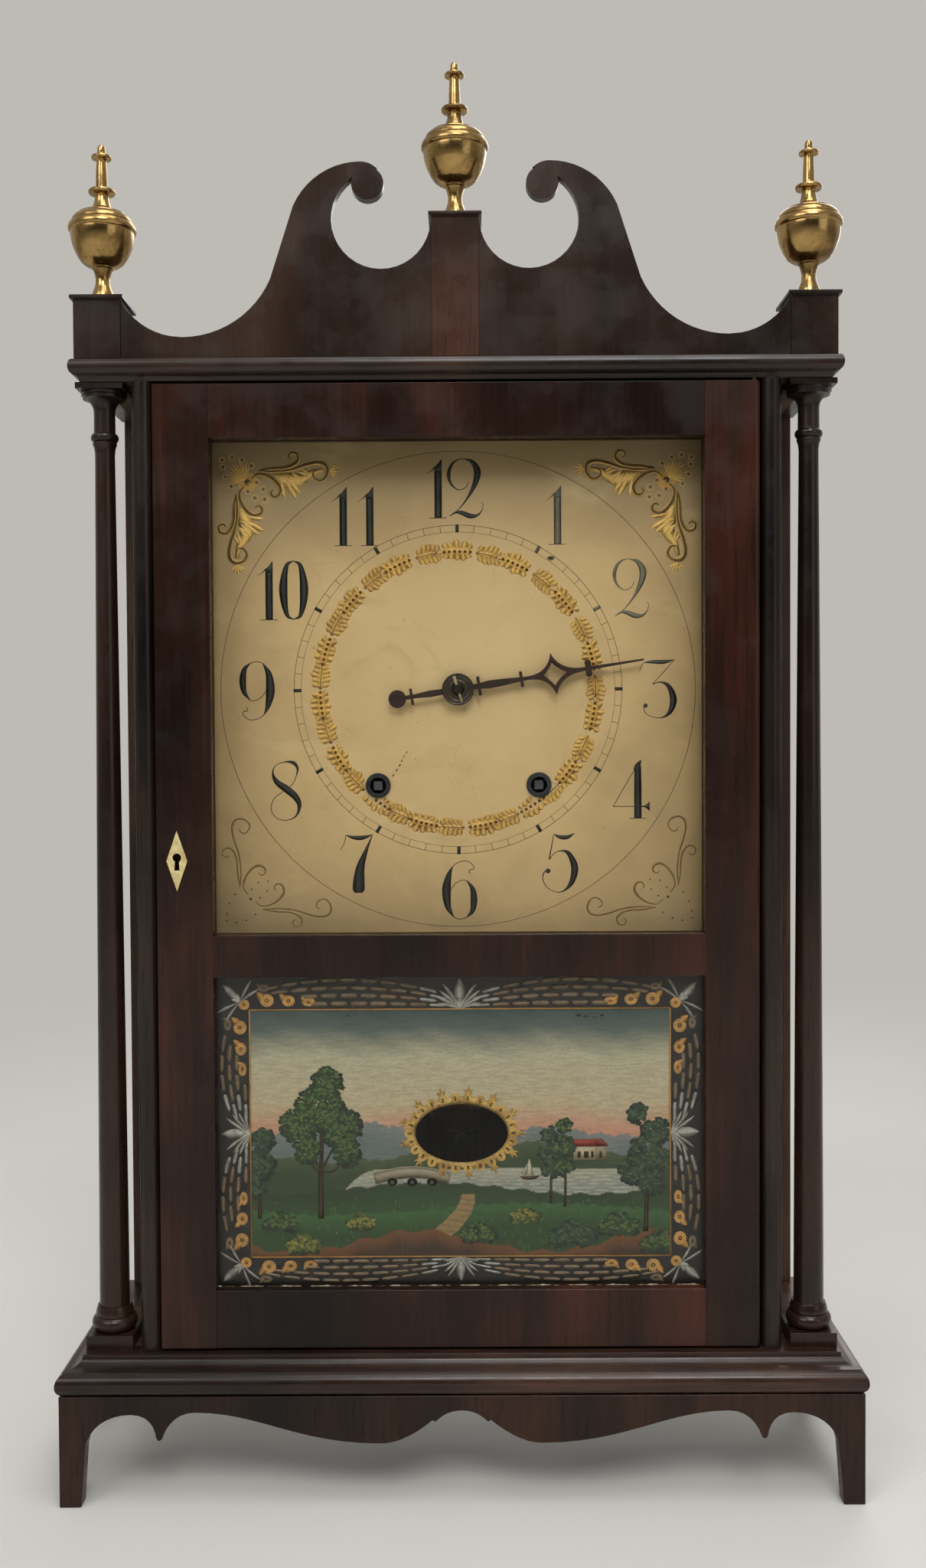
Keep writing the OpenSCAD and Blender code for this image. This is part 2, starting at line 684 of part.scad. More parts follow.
finial_spire = [[4.6, 59], [7, 59.6], [7.4, 60.6], [7, 61.6], [4, 62.2], [3.2, 62.8], [3.1, 69], [2.7, 77.4],
  [3.6, 78.2], [5.3, 78.7], [5.55, 79.5], [5.2, 80.3], [3, 81], [2.1, 81.6], [2.2, 83], [2.1, 85],
  [1.6, 86], [0, 86.2]];

module finial(x, z) {
  up = finial_h / 86.2;
  out = finial_r / 18.6;
  translate([x, cap_mid_y, z]) color([0.75, 0.6, 0.3]) rotate_extrude()
    polygon([for (p = concat(finial_bowl, finial_band, finial_lid, finial_spire)) [p[0] * out, p[1] * up]]);
}

module side_finials() {
  both_sides() finial(side_plinth_in + plinth_w / 2, side_cap_z);
}

module finial_centre() {
  finial(0, centre_cap_z);
}

// Door

module rabbets() {
  half = open_half_w + rabbet;
  box(-half, half, glass_y, door_back_y + 1, tablet_z - rabbet, tablet_top_z + rabbet);
  box(-half, half, glass_y, door_back_y + 1, glass_z - rabbet, glass_top_z + rabbet);
}

module tenons(gap) {
  for (z = [[door_z, bottom_rail_h], [tablet_top_z, mid_rail_h], [glass_top_z, top_rail_h]])
    both_sides() box(open_half_w - 1, open_half_w + tenon_l + gap, tenon_y - gap, tenon_y + tenon_t + gap,
      z[0] + 4 - gap, z[0] + z[1] - 4 + gap);
}

module hinge_bores() {
  for (z = [door_z - 1, door_top_z - hinge_grip])
    translate([hinge_x, hinge_y, z]) cylinder(h = hinge_grip + 1, r = hinge_pin_r + run_gap);
}

module door_stile_right() {
  color([0.24, 0.11, 0.09]) difference() {
    union() {
      box(open_half_w, hinge_x, door_y, door_back_y, door_z, door_top_z);
      box(hinge_x - 1, door_half_w, hinge_y, door_back_y, door_z, door_top_z);
      translate([hinge_x, hinge_y, door_z]) cylinder(h = door_top_z - door_z, r = hinge_inset);
    }
    rabbets();
    tenons(fit_gap);
    hinge_bores();
  }
}

module keyhole() {
  translate([escutcheon_x, escutcheon_z + 1.8]) circle(r = 2.4);
  polygon([[escutcheon_x - 1, escutcheon_z + 1.8], [escutcheon_x + 1, escutcheon_z + 1.8],
    [escutcheon_x + 1.5, escutcheon_z - 5.2], [escutcheon_x - 1.5, escutcheon_z - 5.2]]);
}

module diamond(grow) {
  half_h = escutcheon_h / 2 + grow;
  half_w = escutcheon_w / 2 + grow;
  polygon([[escutcheon_x - half_w, escutcheon_z], [escutcheon_x, escutcheon_z - half_h],
    [escutcheon_x + half_w, escutcheon_z], [escutcheon_x, escutcheon_z + half_h]]);
}

module door_stile_left() {
  color([0.24, 0.11, 0.09]) difference() {
    box(-door_half_w, -open_half_w, door_y, door_back_y, door_z, door_top_z);
    rabbets();
    tenons(fit_gap);
    slab(door_y - 1, door_y + escutcheon_t) diamond(fit_gap);
    slab(door_y, door_back_y - lock_d) keyhole();
    box(lock_x, lock_x + lock_w, door_back_y - lock_d, door_back_y + 1,
      escutcheon_z - lock_h / 2, escutcheon_z + lock_h / 2);
    bolt_way(-door_half_w - 1, lock_x + 1);
  }
}

// Way of the lock bolt, a little larger than the bolt
module bolt_way(x0, x1) {
  box(x0, x1, bolt_y - bolt_t / 2 - 0.2, bolt_y + bolt_t / 2 + 0.2,
    escutcheon_z - bolt_h / 2 - 0.2, escutcheon_z + bolt_h / 2 + 0.2);
}

module door_rails() {
  color([0.26, 0.12, 0.1]) difference() {
    union() {
      box(-open_half_w, open_half_w, door_y, door_back_y, door_z, tablet_z);
      box(-open_half_w, open_half_w, door_y, door_back_y, tablet_top_z, glass_z);
      box(-open_half_w, open_half_w, door_y, door_back_y, glass_top_z, door_top_z);
      tenons(0);
    }
    rabbets();
  }
}

// A pane, 0.1 mm smaller than its rabbet all round
module pane(z0, z1) {
  half = open_half_w + rabbet - 0.1;
  box(-half, half, glass_y, glass_y + glass_t, z0 - rabbet + 0.1, z1 + rabbet - 0.1);
}

module dial_glass() {
  color([0.8, 0.9, 0.9, 0.35]) pane(glass_z, glass_top_z);
}

module tablet_glass() {
  color([0.35, 0.45, 0.4]) pane(tablet_z, tablet_top_z);
}

module glass_stops() {
  half = open_half_w + rabbet - 0.1;
  y0 = glass_y + glass_t;
  color([0.5, 0.36, 0.22])
    for (z = [[tablet_z, tablet_top_z], [glass_z, glass_top_z]])
      difference() {
        box(-half, half, y0, y0 + stop_t, z[0] - rabbet + 0.1, z[1] + rabbet - 0.1);
        box(-open_half_w, open_half_w, y0 - 1, y0 + stop_t + 1, z[0], z[1]);
      }
}

module escutcheon() {
  color([0.85, 0.8, 0.6]) slab(door_y - 0.3, door_y + escutcheon_t) difference() {
    diamond(0);
    keyhole();
  }
}

module lock_case() {
  color([0.6, 0.5, 0.3]) difference() {
    box(lock_x, lock_x + lock_w, door_back_y - lock_d, door_back_y,
      escutcheon_z - lock_h / 2, escutcheon_z + lock_h / 2);
    bolt_way(lock_x - 1, lock_x + lock_w - 1.5);
    slab(door_back_y - lock_d - 1, bolt_y) keyhole();
  }
}

module lock_bolt() {
  color([0.5, 0.5, 0.5])
    box(-door_half_w + 0.3, lock_x + lock_w - 3, bolt_y - bolt_t / 2, bolt_y + bolt_t / 2,
      escutcheon_z - bolt_h / 2, escutcheon_z + bolt_h / 2);
}

module hinge_pins() {
  color([0.7, 0.6, 0.3]) {
    translate([hinge_x, hinge_y, base_z - hinge_grip])
      cylinder(h = hinge_grip + door_bottom_gap + pin_in_door, r = hinge_pin_r);
    translate([hinge_x, hinge_y, door_top_z - pin_in_door])
      cylinder(h = pin_in_door + door_top_gap + hinge_grip, r = hinge_pin_r);
  }
}

// Dial and hands

module dial_board() {
  half_h = dial_h / 2;
  color([0.75, 0.65, 0.45]) difference() {
    box(-dial_half_w, dial_half_w, dial_y, dial_back_y, dial_z - half_h, dial_z + half_h);
    rod_y(centre_p, pipe_r + 0.8, dial_y - 1, dial_back_y + 1);
    for (p = [time_p, strike_p]) rod_y(p, grommet_r - 0.9, dial_y - 1, dial_back_y + 1);
  }
}

module dial_cleats() {
  color([0.55, 0.4, 0.25]) both_sides()
    box(dial_half_w - 10, side_inner_x, dial_back_y, dial_back_y + 7.5,
      dial_z - dial_h / 2 + 30, dial_z + dial_h / 2 - 20);
}

module winding_grommets() {
  color([0.25, 0.24, 0.23]) for (p = [time_p, strike_p]) difference() {
    union() {
      rod_y(p, grommet_r, dial_y - 1.2, dial_y);
      rod_y(p, grommet_r - 0.9 - fit_gap, dial_y - 0.5, dial_back_y);
    }
    rod_y(p, grommet_bore_r, dial_y - 2, dial_back_y + 1);
  }
}

// A pointed bar from [x0, 0] to [x1, 0], half as high as h0 and h1 at its ends
module bar(x0, x1, h0, h1) {
  polygon([[x0, -h0], [x1, -h1], [x1, h1], [x0, h0]]);
}

// A bar across a hand at x, w wide and reaching h each way
module cross_bar(x, w, h) {
  translate([x - w / 2, -h]) square([w, 2 * h]);
}

// A closed outline from its upper edge, the lower edge being its mirror image
function mirrored(points) = concat([for (p = points) [p[0], -p[1]]],
  [for (i = [len(points) - 1:-1:0]) if (points[i][1] > 0) points[i]]);

// Upper edge of a hand: a swelling stem, one side of the diamond, a fine tip
function hand_edge(l, reach) = concat(
  [[0, 1.4], [12, 1.5], [18, 2.2], [26, 1.9], [hand_bars[1], 1.1], [diamond_start - 5, 1]],
  bezier([diamond_start - 5, 1], [diamond_start + 2, 1.1], [diamond_mid - 2, 4.6],
    [diamond_mid, reach], 8),
  bezier([diamond_mid, reach], [diamond_mid + 2.4, 4.4], [diamond_end - 1, 1.2],
    [diamond_end + 6, 1.1], 8),
  [[l, 0.5]]);

// Upper edge of the opening in the diamond
function diamond_hole(reach) = concat([[diamond_start + 3.4, 0]],
  bezier([diamond_start + 3.4, 0], [diamond_mid - 3, 2.2], [diamond_mid - 1, reach - 6],
    [diamond_mid + 0.1, reach - 4], 6),
  bezier([diamond_mid + 0.1, reach - 4], [diamond_mid + 1.4, reach - 6.4],
    [diamond_end - 5.5, 1.8], [diamond_end - 2.4, 0], 6));

// A hand drawn along X from its hub, of length l, its diamond reaching out by reach
module hand_shape(l, reach) {
  difference() {
    polygon(mirrored(hand_edge(l, reach)));
    polygon(mirrored(diamond_hole(reach)));
  }
  circle(r = hub_r);
  cross_bar(hand_bars[0], 1.7, 5.3);
  cross_bar(hand_bars[1], 1.6, 4.4);
}

// The minute hand has a bar with two knobs between diamond and tip, and a ball and a bar on its tail
knob_share = 0.702;
tail_ball_r = 5;
tail_bar_in = 13.1;

module minute_hand() {
  knob_x = minute_hand_l * knob_share;
  tail_edge = [[tail_ball_r - 1 - hand_tail, 1.2], [-24, 1.2], [-16, 1.9], [0, 1.3]];
  color([0.08, 0.08, 0.08]) translate([0, 0, dial_z]) rotate([0, -hand_rest_angle, 0])
    slab(minute_hand_y, minute_hand_y + hand_t) difference() {
      union() {
        hand_shape(minute_hand_l, diamond_reach);
        cross_bar(knob_x, 3.2, 3);
        for (side = [-1, 1]) translate([knob_x, side * 3]) circle(r = 1.8);
        polygon(mirrored(tail_edge));
        cross_bar(tail_bar_in - hand_tail, 1.6, 4.6);
        translate([tail_ball_r - hand_tail, 0]) circle(r = tail_ball_r);
      }
      circle(r = 2.5);
    }
}

module hour_hand() {
  color([0.08, 0.08, 0.08]) translate([0, 0, dial_z]) rotate([0, -hand_rest_angle, 0])
    slab(hour_hand_y, hour_hand_y + hand_t) difference() {
      hand_shape(hour_hand_l, diamond_reach - 1.2);
      circle(r = pipe_r);
    }
}

// Wheelwork

// Outline of a wheel of n teeth. A tooth points along phase. High and deep
// are its height past the pitch circle and its depth inside it, in modules.
// Root and tip are half its width there, in shares of the pitch.
module teeth(n, m, phase, high, deep, root, tip) {
  r = m * n / 2;
  step = 360 / n;
  polygon([for (i = [0:n - 1], c = [[-root, -1], [-tip, 1], [tip, 1], [root, -1]])
    let (a = phase + step * (i + c[0]), q = c[1] < 0 ? r - deep * m : r + high * m) q * [cos(a), sin(a)]]);
}

module wheel_2d(n, m, phase) {
  teeth(n, m, phase, 0.8, 1, 0.3, 0.1);
}

module pinion_2d(n, m, phase) {
  teeth(n, m, phase, 0.6, 1.3, 0.28, 0.1);
}

// Cross arms of a wheel, cut as windows between the hub and the rim
module windows(n, hub, rim) {
  for (i = [0:n - 1]) rotate(i * 360 / n + 45)
    polygon(concat(arc([0, 0], rim, 12, 360 / n - 12, 10), arc([0, 0], hub, 360 / n - 22, 22, 5)));
}

module at(p, y0, y1) {
  translate([p[0], 0, p[1]]) slab(y0, y1) children();
}

// An arbor between the plates, with its two pivots in their holes
module arbor(p, r, y0, y1) {
  rod_y(p, r, y0, y1);
  rod_y(p, pivot_r, plate_inner_y - 5, plate_back_y + 5);
}

module time_great_wheel() {
  to_centre = atan2(centre_p[1] - time_p[1], centre_p[0] - time_p[0]);
  color([0.6, 0.45, 0.28]) {
    at(time_p, great_y, great_y + great_t) difference() {
      wheel_2d(wheel_teeth, first_module, to_centre);
      circle(r = wind_arbor_r + run_gap);
      windows(4, 26, first_module * wheel_teeth / 2 - 8);
    }
  }
}

module strike_great_wheel() {
  color([0.6, 0.45, 0.28])
    at(strike_p, strike_great_y, strike_great_y + great_t) difference() {
      wheel_2d(wheel_teeth, first_module, pin_angle);
      circle(r = wind_arbor_r + run_gap);
      windows(4, 26, first_module * wheel_teeth / 2 - 8);
    }
}

// A cord drum with its flanges, ratchet rim and squared winding arbor
module drum(p, y0, y1, ratchet_front) {
  rim_y = ratchet_front ? y0 : y1 - 2;
  rod_y(p, drum_r, y0, y1);
  rod_y(p, flange_r, y0, y0 + 2);
  rod_y(p, flange_r, y1 - 2, y1);
  at(p, rim_y, rim_y + 2) teeth(24, 2 * (flange_r + 1) / 24, 0, 0.4, 0.6, 0.41, 0.2);
  rod_y(p, wind_arbor_r, dial_y + 8, y0 + 1);
  translate([p[0] - 2.5, dial_y + 1, p[1] - 2.5]) cube([5, 8, 5]);
}

module time_drum() {
  color([0.5, 0.36, 0.22]) {
    drum(time_p, time_drum_y, time_drum_end, true);
    rod_y(time_p, pivot_r, time_drum_end - 1, plate_back_y + 5);
  }
}

module strike_drum() {
  color([0.5, 0.36, 0.22]) {
    drum(strike_p, strike_drum_y, strike_drum_end, false);
    rod_y(strike_p, wind_arbor_r, strike_drum_end - 1, plate_back_y - 2);
    rod_y(strike_p, pivot_r, plate_back_y - 3, plate_back_y + 5);
  }
}

module centre_arbor() {
  from_time = atan2(time_p[1] - centre_p[1], time_p[0] - centre_p[0]);
  color([0.55, 0.42, 0.26]) {
    rod_y(centre_p, centre_r, minute_hand_y + 3.4, plate_back_y - 1);
    rod_y(centre_p, pivot_r, plate_back_y - 2, plate_back_y + 5);
    rod_y(centre_p, 2.5 - fit_gap, minute_hand_y - 2.4, minute_hand_y + 4);
    at(centre_p, great_y - 1, great_y + great_t + 1)
      pinion_2d(first_leaves, first_module, from_time + 180 / first_leaves);
    at(centre_p, centre_wheel_y, centre_wheel_y + wheel_t) difference() {
      wheel_2d(wheel_teeth, third_module, third_angle);
      windows(4, 12, third_module * wheel_teeth / 2 - 6);
    }
    at(centre_p, plate_front_y - 3.4, plate_front_y - 0.8)
      pinion_2d(cannon_leaves, cannon_module, 180 / cannon_leaves);
  }
  color([0.8, 0.7, 0.4]) translate([centre_p[0], minute_hand_y - 1.4, centre_p[1]])
    rotate([0, -17, 0]) translate([0, 0, -7.6]) cylinder(h = 15.2, r1 = 0.5, r2 = 0.9);
}

module third_wheel() {
  to_escape = escape_angle;
  color([0.6, 0.45, 0.28]) {
    arbor(third_p, arbor_r, centre_wheel_y - 6, third_wheel_y + 9);
    at(third_p, centre_wheel_y - 1, centre_wheel_y + wheel_t + 1)
      pinion_2d(pinion_leaves, third_module, third_angle + 180 + 180 / pinion_leaves);
    at(third_p, third_wheel_y, third_wheel_y + wheel_t) difference() {
      wheel_2d(wheel_teeth, fast_module, to_escape);
      windows(4, 10, fast_module * wheel_teeth / 2 - 6);
    }
  }
}

module escape_wheel() {
  color([0.6, 0.45, 0.28]) {
    arbor(escape_p, arbor_r, third_wheel_y - 8, plate_back_y - 2);
    at(escape_p, third_wheel_y - 1, third_wheel_y + wheel_t + 1)
      pinion_2d(pinion_leaves, fast_module, escape_angle + 180 + 180 / pinion_leaves);
    at(escape_p, escape_y, escape_y + wheel_t) difference() {
      polygon([for (i = [0:escape_teeth - 1], c = [[0, 0], [0.42, 2.6], [0.9, 2.6]])
        let (a = 360 * (i + c[0]) / escape_teeth) (escape_r - c[1]) * [cos(a), sin(a)]]);
      windows(4, 7, escape_r - 6);
    }
  }
}

module minute_wheel() {
  color([0.6, 0.45, 0.28]) {
    rod_y(minute_p, pivot_r + 0.5, plate_front_y - 7.5, plate_front_y - 0.6);
    rod_y(minute_p, pivot_r, plate_front_y - 1, plate_front_y + 5);
    at(minute_p, plate_front_y - 3.2, plate_front_y - 1) wheel_2d(minute_teeth, cannon_module, 180);
    at(minute_p, plate_front_y - 6.8, plate_front_y - 3.2)
      pinion_2d(minute_leaves, hour_module, 180 + 180 / minute_leaves);
  }
}

module hour_wheel() {
  color([0.6, 0.45, 0.28]) difference() {
    union() {
      at(centre_p, plate_front_y - 6.5, plate_front_y - 4.5) wheel_2d(hour_teeth, hour_module, 0);
      rod_y(centre_p, pipe_r - fit_gap, hour_hand_y - 0.4, plate_front_y - 4.5);
    }
    rod_y(centre_p, centre_r + run_gap, hour_hand_y - 2, plate_front_y);
  }
}

module front_plate() {
  color([0.5, 0.36, 0.22]) difference() {
    box(-plate_half_w, plate_half_w, plate_front_y, plate_inner_y, plate_bottom_z, plate_top_z);
    rod_y(centre_p, centre_r + run_gap, plate_front_y - 1, plate_inner_y + 1);
    for (p = [time_p, strike_p]) rod_y(p, wind_arbor_r + run_gap, plate_front_y - 1, plate_inner_y + 1);
    for (p = [third_p, escape_p, pivot_p, fly_p, hammer_p, lever_p, count_p, minute_p])
      rod_y(p, pivot_r + run_gap, plate_front_y - 1, plate_inner_y + 1);
    rod_y(pin_p, pivot_r + run_gap, plate_front_y - 1, plate_inner_y + 1);
    for (p = pillar_spots) rod_y(p, 4, plate_front_y - 1, plate_inner_y + 1);
  }
}

module back_plate() {
  color([0.5, 0.36, 0.22]) difference() {
    box(-plate_half_w, plate_half_w, plate_back_y, plate_end_y, plate_bottom_z, plate_top_z);
    for (p = [centre_p, time_p, strike_p, third_p, escape_p, pin_p, fly_p])
      rod_y(p, pivot_r + run_gap, plate_back_y - 1, plate_end_y + 1);
    for (p = [pivot_p, hammer_p]) rod_y(p, arbor_r + run_gap, plate_back_y - 1, plate_end_y + 1);
    for (p = pillar_spots) rod_y(p, 4, plate_back_y - 1, plate_end_y + 1);
  }
}

module plate_pillars() {
  color([0.55, 0.42, 0.26]) for (p = pillar_spots) {
    rod_y(p, 6, plate_inner_y, plate_back_y);
    rod_y(p, 4 - fit_gap, plate_front_y, plate_inner_y + 1);
    rod_y(p, 4 - fit_gap, plate_back_y - 1, plate_end_y + 0.5);
    rod_y(p, 8, plate_end_y, backboard_y);
  }
}

// Pendulum

nib_r = escape_r + 1.4;
nib_angle = 35;

module verge() {
  nib = escape_p + nib_r * [cos(90 - nib_angle), sin(90 - nib_angle)];
  color([0.4, 0.38, 0.36]) {
    rod_y(pivot_p, pivot_r, plate_inner_y - 5, plate_inner_y + 3);
    rod_y(pivot_p, arbor_r, plate_inner_y + 2, crutch_y + crutch_t);
    slab(escape_y - 0.5, escape_y + wheel_t + 0.5) {
      translate(pivot_p) circle(r = 4);
      for (s = [-1, 1]) polygon([[0, pivot_p[1] + 3.6], [s * (nib[0] + 1), nib[1] + 2.2],
        [s * (nib[0] + 1), nib[1] + 0.4], [s * nib[0], nib[1]], [s * (nib[0] - 1.2), nib[1] + 1.8],
        [0, pivot_p[1] - 2]]);
    }
    slab(crutch_y, crutch_y + crutch_t) {
      translate(pivot_p) circle(r = 4);
      polygon([[-1.2, pivot_p[1]], [-1.2, pivot_p[1] - 46], [1.2, pivot_p[1] - 46], [1.2, pivot_p[1]]]);
      polygon([[-3.4, pivot_p[1] - 48], [-3.4, pivot_p[1] - 46], [3.4, pivot_p[1] - 46],
        [3.4, pivot_p[1] - 48]]);
    }
    for (s = [-1, 1]) rod_y([s * (rod_r + 1.2), pivot_p[1] - 47], 0.8, crutch_y + 1, rod_y + 2.5);
  }
}

module suspension_cock() {
  color([0.7, 0.6, 0.35]) {
    box(-5, 5, plate_end_y, cock_y + cock_t, pivot_z + 6, pivot_z + 12);
    box(-5, 5, cock_y, cock_y + cock_t, pivot_z - 4, pivot_z + 7);
    rod_y(pivot_p, 1, rod_y - 1.4, cock_y + 1);
  }
}

module pendulum() {
  color([0.75, 0.65, 0.4]) {
    difference() {
      union() {
        rod_y(pivot_p, 3.2, rod_y - 1, rod_y + 1);
        translate([0, rod_y, bob_z - bob_r - 8]) cylinder(h = pivot_z - 2.4 - bob_z + bob_r + 8, r = rod_r);
      }
      rod_y(pivot_p, 1 + run_gap, rod_y - 2, rod_y + 2);
    }
    translate([0, rod_y, bob_z]) rotate([90, 0, 0]) rotate_extrude()
      polygon(concat([[0, -4.4]], [for (i = [1:9]) let (t = i / 9)
        [bob_r * t, -4.4 * (1 - t * t) - 0.3 * t]],
        [for (i = [9:-1:1]) let (t = i / 9) [bob_r * t, 4.4 * (1 - t * t) + 0.3 * t]], [[0, 4.4]]));
    translate([0, rod_y, bob_z - bob_r - 4.4]) cylinder(h = 3.4, r = 3.6);
  }
}

// Strike

module pin_wheel() {
  pins = 8;
  color([0.6, 0.45, 0.28]) {
    arbor(pin_p, arbor_r, plate_inner_y + 2, plate_back_y - 1);
    rod_y(pin_p, pivot_r, plate_front_y - 3.6, plate_inner_y);
    at(pin_p, strike_great_y - 1, strike_great_y + great_t + 1)
      pinion_2d(first_leaves, first_module, pin_angle + 180 + 180 / first_leaves);
    at(pin_p, pin_wheel_y, pin_wheel_y + wheel_t) difference() {
      wheel_2d(wheel_teeth, fast_module, fly_angle);
      windows(4, 10, fast_module * wheel_teeth / 2 - 9);
    }
    for (i = [0:pins - 1]) let (a = i * 360 / pins + 12)
      rod_y(pin_p + 30 * [cos(a), sin(a)], 1.2, pin_wheel_y + wheel_t - 1, pin_wheel_y + wheel_t + 4);
    at(pin_p, plate_front_y - 3.4, plate_front_y - 0.6)
      pinion_2d(pinion_leaves, count_module, -90 + 180 / pinion_leaves);
  }
}

module fly() {
  color([0.6, 0.45, 0.28]) {
    arbor(fly_p, 2, plate_inner_y + 2, plate_back_y - 8);
    at(fly_p, pin_wheel_y - 1, pin_wheel_y + wheel_t + 1)
      pinion_2d(pinion_leaves, fast_module, fly_angle + 180 + 180 / pinion_leaves);
    at(fly_p, plate_inner_y + 2.5, strike_cord_y - cord_r - 1) rotate(30) {
      bar(-14, 14, 0.8, 0.8);
      circle(r = 3.2);
    }
  }
}

module count_wheel() {
  color([0.6, 0.45, 0.28]) {
    rod_y(count_p, pivot_r + 0.8, plate_front_y - 4.5, plate_front_y - 0.6);
    rod_y(count_p, pivot_r, plate_front_y - 1, plate_front_y + 5);
    at(count_p, plate_front_y - 3, plate_front_y - 1) difference() {
      wheel_2d(count_teeth, count_module, 90);
      windows(4, 7, count_module * count_teeth / 2 - 6);
    }
  }
}

module strike_lever() {
  hook = count_p + (count_module * count_teeth / 2 + 1.6) * [cos(45), sin(45)];
  color([0.4, 0.38, 0.36]) {
    rod_y(lever_p, pivot_r, plate_front_y - 3.2, plate_front_y + 5);
    slab(plate_front_y - 3.2, plate_front_y - 1.2) {
      translate(lever_p) circle(r = 3);
      polygon([lever_p + [-1.2, 1.2], lever_p + [1.2, -1.2], hook + [1.2, 0], hook, hook + [-0.2, 1.8]]);
      polygon([lever_p + [0, 1.3], lever_p + [0, -1.3], centre_p + [-14, 12], centre_p + [-13, 14]]);
    }
  }
}

bell_p = hammer_p + [-42, 29];
bell_d = 11;

module hammer() {
  to_pins = atan2(pin_p[1] - hammer_p[1], pin_p[0] - hammer_p[0]);
  tail = norm(pin_p - hammer_p) - 32;
  head_y = crutch_y + 2.5;
  color([0.4, 0.38, 0.36]) {
    rod_y(hammer_p, pivot_r, plate_inner_y - 5, plate_inner_y + 3);
    rod_y(hammer_p, arbor_r, plate_inner_y + 2, head_y + 1.5);
    at(hammer_p, pin_wheel_y + wheel_t + 0.6, pin_wheel_y + wheel_t + 3.4) rotate(to_pins) bar(0, tail, 2, 1);
    at(hammer_p, head_y - 1, head_y + 1) rotate(atan2(29, -12)) bar(0, 31, 2, 1.2);
    translate([bell_p[0] + bell_r + 2, head_y, bell_p[1]]) rotate([0, 90, 0]) cylinder(h = 8, r = 2.8);
  }
}

module bell() {
  y1 = backboard_y - 1;
  color([0.75, 0.65, 0.35]) {
    rod_y(bell_p, 2, y1 - bell_d - 0.5, backboard_y);
    translate([bell_p[0], y1, bell_p[1]]) rotate([90, 0, 0]) rotate_extrude()
      polygon(concat([[1.9, 0]], [for (i = [1:8]) let (a = 90 * i / 8)
        [bell_r * sin(a), (bell_d) * (1 - cos(a))]],
        [for (i = [8:-1:1]) let (a = 90 * i / 8)
          [(bell_r - 1.6) * sin(a), 1.6 + (bell_d - 1.6) * (1 - cos(a))]],
        [[1.9, 1.6]]));
  }
}

// Weights, pulleys and cords

module weight(x, y) {
  translate([x, y, weight_z]) {
    rotate_extrude() polygon([[0, 0], [weight_r - 1, 0], [weight_r, 1], [weight_r, weight_h - 3],
      [weight_r - 3, weight_h], [0, weight_h]]);
    translate([0, 0, weight_h - 1]) cylinder(h = weight_hook_h + 1, r = 2);
  }
}

module time_weight() {
  color([0.2, 0.2, 0.2]) weight(weight_x, time_cord_y);
}

module strike_weight() {
  color([0.2, 0.2, 0.2]) weight(-weight_x, strike_cord_y);
}

module pulley(x, y) {
  half = pulley_w / 2;
  groove = cord_r + 0.3;
  translate([x, y, pulley_z]) rotate([90, 0, 0]) {
    rotate_extrude() polygon([[0, -half], [pulley_out_r, -half], [pulley_r, -groove], [pulley_r, groove],
      [pulley_out_r, half], [0, half]]);
    cylinder(h = axle_l, r = axle_r, center = true);
  }
}

module pulley_time() {
  color([0.5, 0.36, 0.22]) pulley(pulley_x, time_cord_y);
}

module pulley_strike() {
  color([0.5, 0.36, 0.22]) pulley(-pulley_x, strike_cord_y);
}

// A bend of cord about the spot p, which is [x, z], from angle a0 to angle a1
module cord_bend(p, y, r, a0, a1) {
  intersection() {
    translate([p[0], y, p[1]]) rotate([90, 0, 0]) rotate_extrude() translate([r, 0]) circle(r = cord_r);
    at(p, y - 2 * cord_r, y + 2 * cord_r)
      polygon(concat([[0, 0]], arc([0, 0], 1.5 * (r + cord_r), a0, a1, 14)));
  }
}

// The cord's last turn on the drum, its run up and its bend over the pulley,
// drawn as three lengths that end face to face
module cord_run(y) {
  split = 0.01;
  start = time_p + [sin(run_angle), -cos(run_angle)] * drum_cord_r + [cos(run_angle), sin(run_angle)] * split;
  cord_bend(time_p, y, drum_cord_r, run_angle - 90 - 350, run_angle - 90);
  translate([start[0], y, start[1]]) rotate([0, 90 - run_angle, 0])
    cylinder(h = run_l - 2 * split, r = cord_r);
  cord_bend([pulley_x, pulley_z], y, pulley_cord_r, 0, run_angle + 90);
}

module cord_runs() {
  color([0.7, 0.62, 0.45]) {
    cord_run(time_cord_y);
    mirror([1, 0, 0]) cord_run(strike_cord_y);
  }
}

// The length of cord between a pulley and its weight, which shortens in winding
module cord_drop(x, y) {
  top_z = weight_z + weight_h + weight_hook_h;
  translate([x, y, top_z]) cylinder(h = pulley_z - top_z, r = cord_r);
}

module time_cord_drop() {
  color([0.7, 0.62, 0.45]) cord_drop(weight_x, time_cord_y);
}

module strike_cord_drop() {
  color([0.7, 0.62, 0.45]) cord_drop(-weight_x, strike_cord_y);
}

